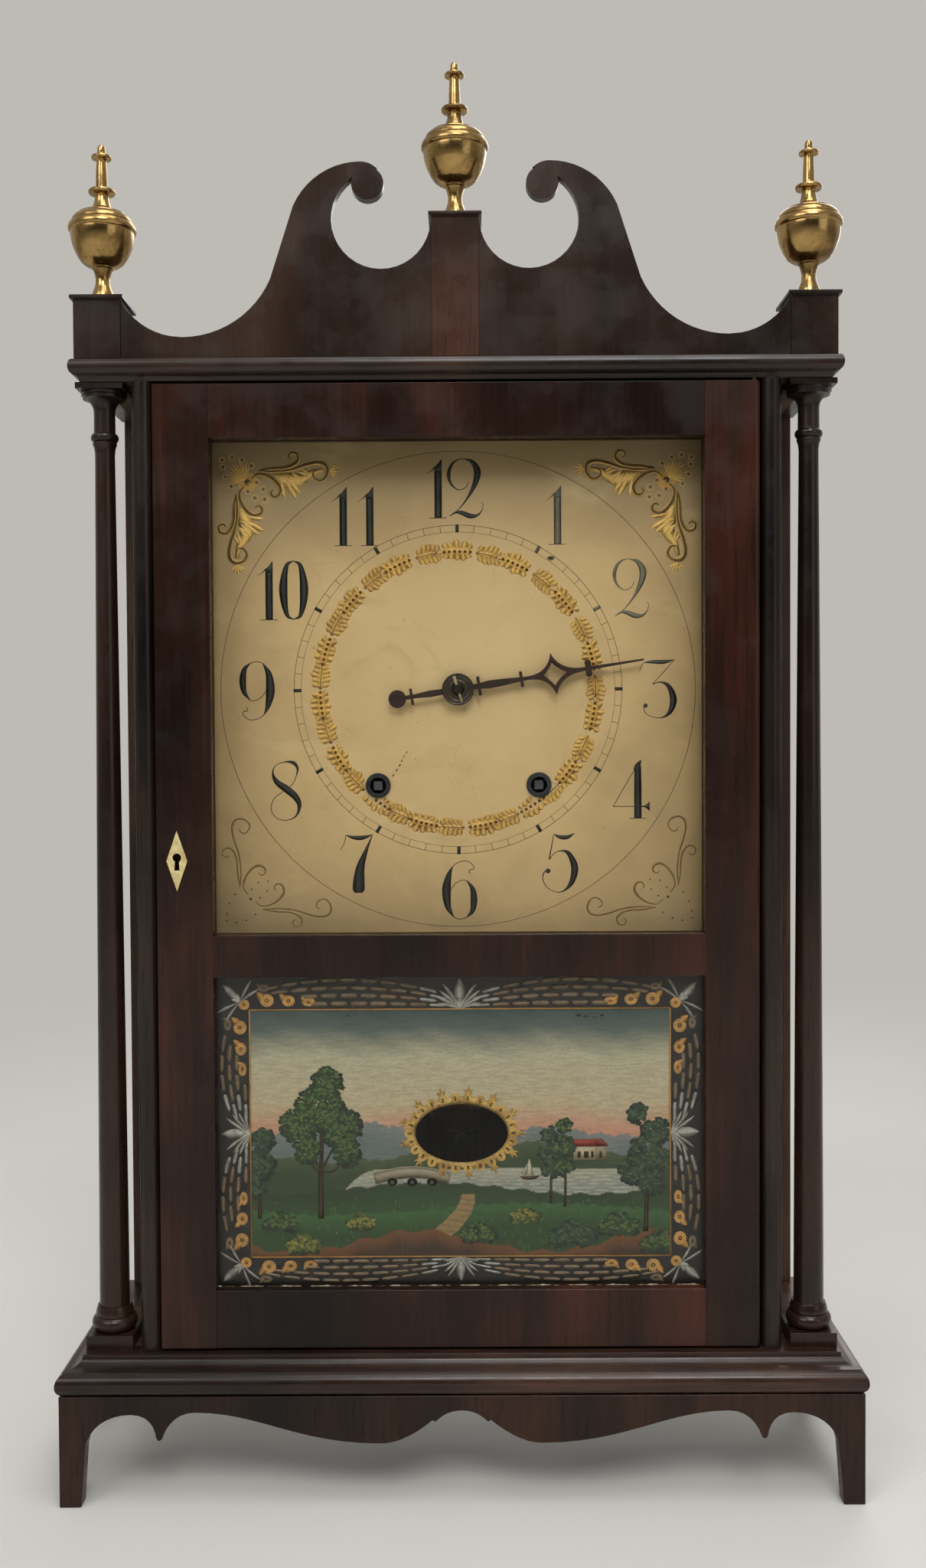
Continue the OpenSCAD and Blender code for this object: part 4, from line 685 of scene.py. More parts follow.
LEAF_SILVER = Plain("silver of the tablet lilies", "painted_glass", (168, 166, 158), (122, 121, 114), 0.4, 160)
RIM_GOLD = Plain("gold of the window rim", "painted_glass", (196, 160, 84), (138, 106, 50), 0.42, 200)
# Pale putty-coloured paint for the lit lower ledges of the openings: a painted highlight.
LEDGE_HIGHLIGHT = Plain("pale ledge line as painted highlight", "painted_glass", (176, 164, 140), (112, 98, 76), 0.7, 260, 0.0002)


# Surfaces

ROOT = 0.03


@dataclass
class Patch:
    """A surface: points in millimetres, its four-sided and three-sided faces, and a tint for each point."""

    points: np.ndarray
    quads: np.ndarray
    tris: np.ndarray = field(default_factory=lambda: np.zeros((0, 3), int))
    tint: np.ndarray | None = None

    def tinted(self, colour: np.ndarray) -> "Patch":
        """The same surface with one tint, or one for each point."""
        return Patch(self.points, self.quads, self.tris, np.broadcast_to(colour, self.points.shape).copy())


def joined(patches: list[Patch]) -> Patch:
    """Several surfaces as one, with their face numbers moved on.

    Args:
        patches: the surfaces, all tinted or none.

    Returns:
        The joint surface.
    """
    steps = np.cumsum([0] + [len(p.points) for p in patches[:-1]])
    tint = None if patches[0].tint is None else np.vstack([p.tint for p in patches])
    return Patch(np.vstack([p.points for p in patches]), np.vstack([p.quads + s for p, s in zip(patches, steps)]),
                 np.vstack([p.tris + s for p, s in zip(patches, steps)]), tint)


def lattice(rows: int, columns: int, around: bool = False) -> np.ndarray:
    """Four-sided faces between the rows and columns of a grid.

    Args:
        rows: number of rows of points.
        columns: number of points in a row.
        around: whether a row closes on itself.

    Returns:
        Point numbers of each face.
    """
    i, j = np.meshgrid(np.arange(rows - 1), np.arange(columns if around else columns - 1), indexing="ij")
    k = (j + 1) % columns
    low, high = i * columns, (i + 1) * columns
    return np.stack([low + j, low + k, high + k, high + j], -1).reshape(-1, 4)


def flowing(knots: list[tuple[float, ...]] | np.ndarray, per: int = 7) -> np.ndarray:
    """A smooth line through knots, by the cubic whose slope at a knot is half the step between its neighbours.

    Args:
        knots: rows of numbers; every column is smoothed alike, so a width may stand beside a place.
        per: points for each stretch between two knots.

    Returns:
        The rows along the smooth line.
    """
    k = np.asarray(knots, float)
    p = np.vstack([2 * k[0] - k[1], k, 2 * k[-1] - k[-2]])
    t = np.linspace(0, 1, per, endpoint=False)[None, :, None]
    a, b, c, d = (p[i:len(p) - 3 + i, None, :] for i in range(4))
    q = 0.5 * (2 * b + (c - a) * t + (2 * a - 5 * b + 4 * c - d) * t ** 2 + (3 * b - a - 3 * c + d) * t ** 3)
    return np.vstack([q.reshape(-1, k.shape[1]), k[-1:]])


def stroke(line: np.ndarray, face_y: float, lift: float, closed: bool = False) -> Patch:
    """A stroke of paint or leaf: a low ridge along a line, as wide as the line's third column says.

    Each ring has four points: both edges on the face, the crown in front of it and the root just behind it.

    Args:
        line: rows of x, z and half width.
        face_y: the y of the painted face, which looks towards -y.
        lift: height of the crown.
        closed: whether the line ends where it starts.

    Returns:
        The closed surface of the stroke.
    """
    p, half = line[:, :2], np.maximum(line[:, 2], 0.03)
    run = np.roll(p, -1, 0) - np.roll(p, 1, 0) if closed else np.gradient(p, axis=0)
    run = run / np.maximum(np.linalg.norm(run, axis=1, keepdims=True), 1e-9)
    side = np.stack([-run[:, 1], run[:, 0]], 1) * half[:, None]
    rings = np.zeros((len(p), 4, 3))
    rings[:, :, [0, 2]] = p[:, None] + side[:, None] * np.array([1, 0, -1, 0])[:, None]
    rings[:, :, 1] = face_y + np.array([0, -lift, 0, ROOT])
    quads = lattice(len(p), 4, True)
    last = 4 * (len(p) - 1)
    if closed:
        j = np.arange(4)
        ends = np.stack([last + j, last + (j + 1) % 4, (j + 1) % 4, j], 1)
    else:
        ends = np.array([[0, 3, 2, 1], [last + 1, last + 2, last + 3, last]])
    return Patch(rings.reshape(-1, 3), np.vstack([quads, ends]))


def blade(root: np.ndarray, heading: float, length: float, width: float, face_y: float, lift: float,
          curl: float = 0, swell: float = 0.75) -> Patch:
    """A leaf: a stroke that leaves its root, swells and ends in a point, and may curl to one side.

    Args:
        root: x and z where it starts.
        heading: direction in degrees, from +x towards +z.
        length: length of its middle line.
        width: greatest width.
        face_y: the y of the face that it lies on.
        lift: height of its crown.
        curl: degrees by which its direction turns from root to tip.
        swell: power that moves the widest place; above 1 it lies towards the tip, as in a rounded lobe.

    Returns:
        The leaf's surface.
    """
    rows = 8
    t = np.linspace(0, 1, rows)
    angle = np.radians(heading + curl * t)
    step = length / (rows - 1)
    x, z = (start + np.concatenate([[0], np.cumsum(way(angle[:-1]))]) * step
            for start, way in zip(root, (np.cos, np.sin)))
    half = width / 2 * np.sin(np.pi * t ** swell) ** 0.8
    return stroke(np.stack([x, z, half], 1), face_y, lift)


class Axis(Enum):
    """Which way the axis of a turned surface points."""

    FORWARD = "y"
    UP = "z"


def turned(profile: list[Pair], centre: Triple, sides: int, axis: Axis = Axis.FORWARD,
           squash: Pair = (1, 1)) -> Patch:
    """A turned surface: a profile of radius and distance swept round an axis, its ends closed to one point.

    Args:
        profile: rows of radius and distance along the axis; the first and last radius are taken as 0.
        centre: where distance 0 lies on the axis.
        sides: points round the axis.
        axis: forward for a bead on an upright face, where distance counts towards -y, or up for an upright turning.
        squash: stretch of the first and second direction across the axis.

    Returns:
        The closed surface.
    """
    rows = np.asarray(profile, float)
    angle = 2 * np.pi * np.arange(sides) / sides
    inner = rows[1:-1]
    first = inner[:, 0:1] * np.cos(angle) * squash[0]
    second = inner[:, 0:1] * np.sin(angle) * squash[1]
    along = np.repeat(inner[:, 1:2], sides, 1)
    body = np.stack([first, second, along], -1).reshape(-1, 3)
    points = np.vstack([body, [[0, 0, rows[0, 1]], [0, 0, rows[-1, 1]]]])
    if axis is Axis.FORWARD:
        points = points[:, [0, 2, 1]] * np.array([1, -1, 1])
    points = points + np.asarray(centre, float)
    n = len(inner) * sides
    j = np.arange(sides)
    k = (j + 1) % sides
    low = np.stack([np.full(sides, n), k, j], 1)
    high = np.stack([np.full(sides, n + 1), n - sides + j, n - sides + k], 1)
    quads = lattice(len(inner), sides, True)[:, ::-1]
    return Patch(points, quads, np.vstack([low, high]))


def bead(x: float, z: float, radius: float, face_y: float, lift: float, sides: int, squash: Pair = (1, 1)) -> Patch:
    """A low round drop of paint or leaf on an upright face."""
    profile = [(0, -ROOT), (radius, 0), (radius * 0.72, lift * 0.7), (radius * 0.3, lift * 0.97), (0, lift)]
    return turned(profile, (x, face_y, z), sides, squash=squash)


def flat(outline: list[Pair] | np.ndarray, face_y: float, lift: float) -> Patch:
    """A flat patch of paint with a straight-sided outline: a prism whose two faces fan out from the middle.

    Args:
        outline: x and z of its corners, anticlockwise as seen from the front; convex.
        face_y: the y of the face that it lies on.
        lift: its thickness.

    Returns:
        The closed surface.
    """
    count = len(outline)
    ring = np.vstack([outline, np.mean(outline, 0)])
    points = np.vstack([np.insert(ring, 1, y, axis=1) for y in (face_y - lift, face_y + ROOT)])
    j = np.arange(count)
    k = (j + 1) % count
    back = count + 1
    tris = np.vstack([np.stack([np.full(count, count), j, k], 1),
                      np.stack([np.full(count, back + count), back + k, back + j], 1)])
    return Patch(points, np.stack([j, back + j, back + k, k], 1), tris)


def ring_line(centre: Pair, radii: Pair, half: float, points: int) -> np.ndarray:
    """A line round an ellipse: x and z are its radii times the cosine and sine of an angle that runs round once.

    Args:
        centre: x and z of its middle.
        radii: its half width and half height.
        half: half width of the line.
        points: number of points round it.

    Returns:
        Rows of x, z and half width.
    """
    angle = 2 * np.pi * np.arange(points) / points
    x, z = centre[0] + radii[0] * np.cos(angle), centre[1] + radii[1] * np.sin(angle)
    return np.stack([x, z, np.full(points, half)], 1)


def placed(name: str, data: bpy.types.ID) -> bpy.types.Object:
    """Puts a mesh, a lamp or a lens into the scene.

    Args:
        name: the object's name.
        data: what it shows.

    Returns:
        The object.
    """
    made = bpy.data.objects.new(name, data)
    bpy.context.scene.collection.objects.link(made)
    return made


def piece(name: str, patch: Patch, finish: Finish, body: str, smooth: bool = True) -> bpy.types.Object:
    """Puts a surface into a mesh, dresses it and lets it ride on a body.

    Args:
        name: the piece's name.
        patch: its surface in millimetres.
        finish: its finish.
        body: the body of the frame that carries it.
        smooth: whether its faces shade smoothly.

    Returns:
        The finished object.
    """
    mesh = bpy.data.meshes.new(name)
    mesh.from_pydata((patch.points * MM).tolist(), [], patch.quads.tolist() + patch.tris.tolist())
    if patch.tint is not None:
        layer = mesh.attributes.new("tint", "FLOAT_COLOR", "POINT")
        layer.data.foreach_set("color", np.hstack([patch.tint, np.ones((len(patch.tint), 1))]).ravel())
    mesh.polygons.foreach_set("use_smooth", np.full(len(mesh.polygons), smooth))
    mesh.materials.append(finish.material())
    made = placed(name, mesh)
    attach(made, body)
    log.info("%s: %d points on %s", name, len(patch.points), body)
    return made


@dataclass
class Frame:
    """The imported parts, and the two ways to dress them."""

    nodes: dict[str, bpy.types.Object]
    record: dict

    def body(self, node: str) -> str:
        """The body that carries a node."""
        return self.nodes[node]["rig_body"]

    def dress(self, names: list[str], finish: Finish) -> None:
        """Gives nodes a finish and keeps their shape.

        Args:
            names: the nodes.
            finish: their finish.
        """
        for name in names:
            materials = self.nodes[name].data.materials
            materials.clear()
            materials.append(finish.material())
            log.info("%s: finished as %s", name, finish.name)

    def ease(self, names: list[str], finish: Finish, width: float, sharp: float = 32) -> None:
        """Stands a copy with worn, rounded edges for each node.

        The copy's loose faces are joined, its flat faces merged, and a bevel rounds each sharp edge. Large faces
        then set the shading of their corners, so that boards look flat.

        Args:
            names: the nodes.
            finish: the finish of the copies.
            width: width of the rounding in millimetres.
            sharp: least angle of an edge that is rounded, in degrees.
        """
        for name in names:
            work = bmesh.new()
            work.from_mesh(self.nodes[name].data)
            bmesh.ops.remove_doubles(work, verts=work.verts, dist=1e-6)
            bmesh.ops.dissolve_limit(work, angle_limit=math.radians(0.2), verts=work.verts, edges=work.edges)
            mesh = bpy.data.meshes.new(name + "_eased")
            work.to_mesh(mesh)
            work.free()
            mesh.polygons.foreach_set("use_smooth", np.full(len(mesh.polygons), True))
            mesh.materials.append(finish.material())
            made = placed(name + "_eased", mesh)
            bevel = made.modifiers.new("worn edge", "BEVEL")
            bevel.width = width * MM
            bevel.segments = 2
            bevel.limit_method = "ANGLE"
            bevel.angle_limit = math.radians(sharp)
            bevel.use_clamp_overlap = True
            even = made.modifiers.new("even shading", "WEIGHTED_NORMAL")
            even.weight = 60
            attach(made, self.body(name))
            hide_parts(name)
            log.info("%s: eased by %.1f mm, finished as %s", name, width, finish.name)


# Sub-assemblies


@dataclass
class Viewpoint:
    """The camera at the photograph's viewing angle; its place is in millimetres and its turns in degrees."""

    place: Triple = (5.1, -840.8, 411.7)
    yaw: float = -0.18
    pitch: float = -1.42
    roll: float = -0.33
    sensor: float = 36
    focal_share: float = 1900 / 2048

    def make(self) -> None:
        """Makes the camera from its forward direction, its right turned by the roll, and its up."""
        yaw, pitch, roll = (math.radians(a) for a in (self.yaw, self.pitch, self.roll))
        ahead = Vector((math.sin(yaw) * math.cos(pitch), math.cos(yaw) * math.cos(pitch), math.sin(pitch)))
        right = ahead.cross(Vector((0, 0, 1))).normalized()
        up = right.cross(ahead)
        side = math.cos(roll) * right + math.sin(roll) * up
        top = side.cross(ahead)
        lens = bpy.data.cameras.new("camera")
        lens.sensor_width = self.sensor
        lens.lens = self.sensor * self.focal_share
        lens.clip_start, lens.clip_end = 0.01, 100
        camera = placed("camera", lens)
        turn = Matrix((side, top, -ahead)).transposed().to_4x4()
        camera.matrix_world = Matrix.Translation(Vector(self.place) * MM) @ turn
        bpy.context.scene.camera = camera


@dataclass
class Studio:
    """A plain pale floor, soft lamps and a pale surrounding, in metres; a lamp is a name, place, size and power."""

    floor_half: float = 12.0
    fade: Pair = (0.55, 1.9)
    floor_colour: Colour = (206, 204, 199)
    backdrop: Colour = (190, 187, 181)
    low_sky: Colour = (146, 138, 128)
    high_sky: Colour = (230, 228, 224)
    sky_power: float = 0.58
    aim: Triple = (0, 0, 0.4)
    lamps: tuple[tuple[str, Triple, float, float], ...] = (
        ("window", (-1.5, -2.0, 2.1), 1.5, 25),
        ("front", (0.3, -2.3, 2.6), 1.2, 47),
        ("ceiling", (0.3, -0.6, 2.6), 1.3, 20),
        ("fill", (1.9, -2.1, 1.0), 1.4, 5),
        ("behind", (0.9, 2.2, 1.9), 1.5, 20))

    def floor(self) -> None:
        """The floor: a flat sheet with a faint mottle that turns into the backdrop's tone far from the clock."""
        half = self.floor_half
        mesh = bpy.data.meshes.new("floor")
        corners = [(-half, -half, 0), (half, -half, 0), (half, half, 0), (-half, half, 0)]
        mesh.from_pydata(corners, [], [(0, 1, 2, 3)])
        g = Graph("pale floor")
        red, green, blue = self.floor_colour
        colour = g.ramp(g.noise(g.spot(), 3, 3), [(0.3, (red - 5, green - 5, blue - 5)), (0.7, self.floor_colour)])
        material = g.surface(colour, 0.7, None, Specular_IOR_Level=0.1)
        near = g.output.links[0].from_socket
        away = g.named("ShaderNodeVectorMath", "Value", {"Vector": g.place}, operation="LENGTH")
        rays = g.node("ShaderNodeLightPath").outputs
        share = g.maths("MULTIPLY", rays["Is Camera Ray"], g.span(away, *self.fade))
        g.blend(share, near, g.node("ShaderNodeEmission", tone(*self.backdrop)).outputs[0])
        mesh.materials.append(material)
        made = placed("floor", mesh)

    def sky(self) -> None:
        """The surrounding: paler above than below, dark in front, and one pale tone where it is seen directly."""
        world = bpy.data.worlds.new("surrounding")
        bpy.context.scene.world = world
        world.use_nodes = True
        g = Nodes(world.node_tree, "ShaderNodeOutputWorld")
        _, ahead, up = g.axes(g.node("ShaderNodeTexCoord").outputs["Generated"])
        height = g.maths("MULTIPLY", g.maths("ADD", up, 1.0), 0.5)
        colour = g.ramp(height, [(0.42, self.low_sky), (0.75, self.high_sky)])
        power = g.maths("MULTIPLY", g.span(ahead, -0.88, -0.5, 0.1, 1.0), self.sky_power)
        light = g.node("ShaderNodeBackground", colour, power)
        seen = g.node("ShaderNodeBackground", tone(*self.backdrop))
        rays = g.node("ShaderNodeLightPath").outputs
        behind = g.maths("MULTIPLY", rays["Is Glossy Ray"], g.span(ahead, -0.2, 0.3, 0.0, 1.0))
        direct = g.maths("MAXIMUM", rays["Is Camera Ray"], rays["Is Transmission Ray"])
        g.blend(g.maths("MAXIMUM", direct, behind), light.outputs[0], seen.outputs[0])

    def light(self) -> None:
        """The lamps, square and soft, each aimed at the middle of the clock."""
        for name, place, size, power in self.lamps:
            lamp = bpy.data.lights.new(name, "AREA")
            lamp.size, lamp.energy = size, power
            made = placed(name, lamp)
            made.location = place
            made.rotation_euler = (Vector(self.aim) - Vector(place)).to_track_quat("-Z", "Y").to_euler()

    def make(self) -> None:
        """Sets up floor, surrounding and lamps."""
        self.floor()
        self.sky()
        self.light()
        bpy.context.scene.view_settings.view_transform = "Standard"


@dataclass
class CaseWork:
    """The wooden case: base, sides, columns, cornice and crest; roundings are in millimetres."""

    frame: Frame
    board_edge: float = 0.7
    moulding_edge: float = 0.5
    crest_edge: float = 0.6

    def corner(self, node: str) -> float:
        """Where a moulding's mitre starts, as its half width plus its front y, in metres."""
        low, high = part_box(node)
        return high.x + low.y

    def make(self) -> None:
        """Finishes the case from the feet up."""
        ease, dress = self.frame.ease, self.frame.dress
        ease(["front_skirt"], MAHOGANY_UP, self.board_edge)
        ease(["side_skirts"], MAHOGANY_BACK, self.board_edge)
        for node, wood in (("base_moulding", BASE_WOOD), ("cornice_moulding", CORNICE_WOOD)):
            ease([node], replace(wood, corner=self.corner(node)), self.moulding_edge)
        ease(["side_left", "side_right"], MAHOGANY_UP, self.board_edge)
        ease(["stile_beads"], BEAD_WOOD, 0.3)
        ease(["backboard"], BACK_WOOD, self.board_edge)
        ease(["column_left", "column_right"], COLUMN_WOOD, 0.4, 40)
        ease(["crest_board"], CREST_WOOD, self.crest_edge)
        ease(["crest_plinths"], PLINTH_WOOD, 0.4)
        # Painted shade: the base and top boards and the glue blocks take the darkened pine, standing in for the
        # shadow they sit in.
        dress(["base_board", "top_board"], DARKENED_PINE_LEVEL)
        dress(["glue_blocks"], DARKENED_PINE)


@dataclass
class Finials:
    """Three turned brass urns."""

    frame: Frame

    def make(self) -> None:
        """Finishes the finials."""
        self.frame.ease(["side_finials", "finial_centre"], BRASS, 0.2, 24)


@dataclass
class Door:
    """The glazed door with its lock, hinges and keyhole plate."""

    frame: Frame
    edge: float = 0.6
    lap: float = 5

    def putty(self, node: str, name: str, widest: float) -> None:
        """A painted highlight: a thin uneven pale line in putty colours along the lower edge of a pane's opening
        only, where the ledge catches the light; its width is a sum of sines along it.

        Args:
            node: the pane.
            name: the line's name.
            widest: its half width where the sines are 0.25 in sum.
        """
        low, high = (np.array(c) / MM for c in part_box(node))
        x = np.linspace(low[0] + self.lap, high[0] - self.lap, 160)
        ripple = 0.35 * np.sin(x * 0.31) + 0.25 * np.sin(x * 0.83 + 1) + 0.2 * np.sin(x * 2.1)
        half = np.maximum(widest * (0.75 + ripple), 0.12)
        line = np.stack([x, np.full_like(x, low[2] + self.lap + 0.2), half], 1)
        piece(name, stroke(line, low[1], 0.35), LEDGE_HIGHLIGHT, "door")

    def make(self) -> None:
        """Finishes frame, panes, lock and hinge pins."""
        self.frame.ease(["door_stile_left", "door_stile_right"], DOOR_SLANT, self.edge)
        self.frame.ease(["door_rails"], DOOR_UP, self.edge * 0.6)
        self.frame.dress(["dial_glass", "tablet_glass"], Pane())
        self.frame.dress(["glass_stops"], DARKENED_PINE)
        self.frame.ease(["escutcheon"], BONE, 0.2)
        self.frame.ease(["lock_case"], IRON, 0.3)
        self.frame.dress(["lock_bolt"], IRON)
        self.frame.dress(["hinge_pins"], DARK_PIN)
        # Painted highlight: a pale line at the lower edge of each opening, where the ledge catches the light from
        # above.
        self.putty("dial_glass", "dial_ledge_highlight", 0.35)
        self.putty("tablet_glass", "tablet_ledge_highlight", 0.8)


@dataclass
class Numerals:
    """The hour figures: thick and thin strokes in units of the figure's height, from its lower left."""

    height: float = 33.4
    hair: float = 0.006

    def figures(self) -> dict[str, tuple[float, list[Knots]]]:
        """The strokes of the figures.

        Returns:
            For each figure, the x of its middle, and its strokes as knots of x, z and half width.
        """
        h = self.hair
        one = [[(0, 0.005, 0.0625), (0, 0.4, 0.0625), (0, 0.8, 0.0625)],
               [(-0.19, 0.74, h / 2), (-0.12, 0.79, h), (-0.055, 0.852, 0.012), (-0.03, 0.875, h)],
               [(-0.15, 0.004, h), (0.0, 0.004, h), (0.14, 0.004, h)]]
        two = [[(0.36, 0.61, 0.005), (0.30, 0.51, 0.006), (0.18, 0.475, 0.008), (0.06, 0.58, 0.018),
                (0.025, 0.74, 0.03), (0.08, 0.9, 0.022), (0.2, 0.985, 0.008), (0.31, 0.99, 0.006)],
               [(0.29, 0.99, 0.006), (0.42, 0.94, 0.034), (0.505, 0.79, 0.058), (0.475, 0.60, 0.046),
                (0.36, 0.37, 0.02), (0.2, 0.16, 0.008), (0.03, 0.03, 0.005)],
               [(0.03, 0.03, 0.004), (0.14, 0.095, 0.018), (0.25, 0.085, 0.036), (0.38, 0.035, 0.042),
                (0.50, 0.045, 0.02), (0.58, 0.13, 0.007), (0.60, 0.23, 0.005), (0.565, 0.265, 0.004)]]
        three = [[(0.04, 0.94, 0.004), (0.18, 0.95, 0.028), (0.38, 0.95, 0.034), (0.56, 0.985, 0.004)],
                 [(0.04, 0.94, h), (0.0, 0.87, h), (-0.03, 0.79, 0.004)],
                 [(0.555, 0.98, h), (0.38, 0.78, h), (0.19, 0.575, h)],
                 [(0.19, 0.575, h), (0.32, 0.61, 0.012), (0.46, 0.54, 0.036), (0.54, 0.33, 0.058),
                  (0.49, 0.12, 0.04), (0.36, 0.015, 0.012), (0.2, 0.02, h), (0.07, 0.09, h), (0.04, 0.2, h)]]
        four = [[(0.42, 0.005, 0.0625), (0.42, 0.45, 0.0625), (0.42, 0.9, 0.055)],
                [(0.36, 0.82, 0.02), (0.42, 0.9, 0.04), (0.475, 0.985, 0.012)],
                [(0.46, 0.985, h), (0.2, 0.55, h), (0.0, 0.205, h)],
                [(0.0, 0.205, h), (0.3, 0.205, h), (0.5, 0.205, 0.012), (0.56, 0.205, 0.03), (0.62, 0.205, 0.085)],
                [(0.28, 0.004, h), (0.42, 0.004, h), (0.56, 0.004, h)]]
        five = [[(0.215, 0.985, h), (0.175, 0.77, 0.008), (0.135, 0.55, 0.01)],
                [(0.215, 0.985, 0.004), (0.31, 0.935, 0.03), (0.44, 0.93, 0.035), (0.57, 0.995, 0.003)],
                [(0.135, 0.55, h), (0.22, 0.655, h), (0.34, 0.70, 0.01), (0.47, 0.65, 0.036), (0.565, 0.42, 0.06),
                 (0.52, 0.18, 0.045), (0.40, 0.035, 0.016), (0.27, 0.0, h), (0.11, 0.07, h), (0.03, 0.2, 0.008),
                 (0.04, 0.32, 0.01), (0.10, 0.37, 0.008)]]
        six = [[(0.50, 0.775, 0.004), (0.47, 0.80, h), (0.485, 0.84, h), (0.535, 0.845, h), (0.55, 0.89, h),
                (0.47, 0.975, h), (0.35, 0.985, h), (0.23, 0.93, h), (0.16, 0.84, h)],
               [(0.19, 0.90, 0.006), (0.125, 0.74, 0.045), (0.085, 0.5, 0.075), (0.11, 0.22, 0.052),
                (0.21, 0.035, 0.006)],
               [(0.20, 0.04, h), (0.31, 0.004, h), (0.43, 0.035, h)],
               [(0.16, 0.50, h), (0.24, 0.61, h), (0.36, 0.665, h), (0.46, 0.645, h)],
               [(0.43, 0.655, 0.006), (0.525, 0.52, 0.04), (0.55, 0.33, 0.058), (0.52, 0.14, 0.04),
                (0.42, 0.03, 0.006)]]
        seven = [[(0.0, 0.985, 0.004), (0.12, 0.945, 0.03), (0.28, 0.94, 0.036), (0.455, 0.99, 0.004)],
                 [(0.0, 0.985, h), (-0.02, 0.87, h), (-0.09, 0.74, 0.004)],
                 [(0.45, 0.985, h), (0.34, 0.72, 0.03), (0.245, 0.45, 0.07), (0.215, 0.2, 0.098), (0.21, 0.06, 0.1),
                  (0.21, 0.005, 0.06)]]
        eight = [[(0.47, 0.76, h), (0.49, 0.88, 0.02), (0.42, 0.975, 0.03), (0.28, 0.99, 0.01), (0.12, 0.93, h),
                  (0.07, 0.80, 0.016), (0.14, 0.65, 0.045), (0.30, 0.53, 0.06), (0.45, 0.40, 0.055),
                  (0.515, 0.25, 0.035), (0.46, 0.08, 0.014), (0.30, 0.004, h), (0.12, 0.05, h), (0.035, 0.2, h),
                  (0.09, 0.37, h), (0.24, 0.49, h), (0.40, 0.61, h), (0.47, 0.76, h)]]
        nought = [[(0.25, 0.992, 0.006), (near, 0.90, 0.036), (far, 0.5, 0.072), (near, 0.10, 0.036),
                   (0.25, 0.008, 0.006)] for near, far in ((0.13, 0.075), (0.37, 0.425))]
        nine = [[(0.6 - x, 1 - z, w) for x, z, w in line] for line in six]
        return {"0": (0.25, nought), "1": (0.0, one), "2": (0.31, two), "3": (0.29, three), "4": (0.32, four),
                "5": (0.3, five), "6": (0.3, six), "7": (0.22, seven), "8": (0.28, eight), "9": (0.3, nine)}

    def wedges(self) -> dict[str, list[Pair]]:
        """The slanting cut at the head of the one: its outline in x and z."""
        return {"1": [(-0.0625, 0.79), (0.0625, 0.79), (0.0625, 0.995), (-0.0625, 0.835)]}

    def balls(self) -> dict[str, Triple]:
        """The round ends of two figures: x, z and radius."""
        return {"3": (0.07, 0.215, 0.036), "5": (0.115, 0.36, 0.042)}

    def draw(self, label: str, centre: Pair, face_y: float) -> list[Patch]:
        """Draws a label, upright, with its middle at a place.

        Args:
            label: one or two figures.
            centre: x and z of the label's middle, in millimetres.
            face_y: the y of the painted face.

        Returns:
            The strokes.
        """
        pairs = {"10": (-0.244, 0.17), "11": (-0.224, 0.224), "12": (-0.315, 0.15)}
        offsets = pairs.get(label, (0.0,))
        made = []
        for figure, offset in zip(label, offsets):
            middle, lines = self.figures()[figure]
            shift = np.array([centre[0] + (offset - middle) * self.height, centre[1] - self.height / 2])
            for knots in lines:
                line = flowing(knots, 9) * self.height
                line[:, :2] += shift
                made.append(stroke(line, face_y, 0.1))
            if figure in self.wedges():
                made.append(flat(np.array(self.wedges()[figure]) * self.height + shift, face_y, 0.1))
            if figure in self.balls():
                x, z, radius = (v * self.height for v in self.balls()[figure])
                made.append(bead(x + shift[0], z + shift[1], radius, face_y, 0.12, 16))
        return made


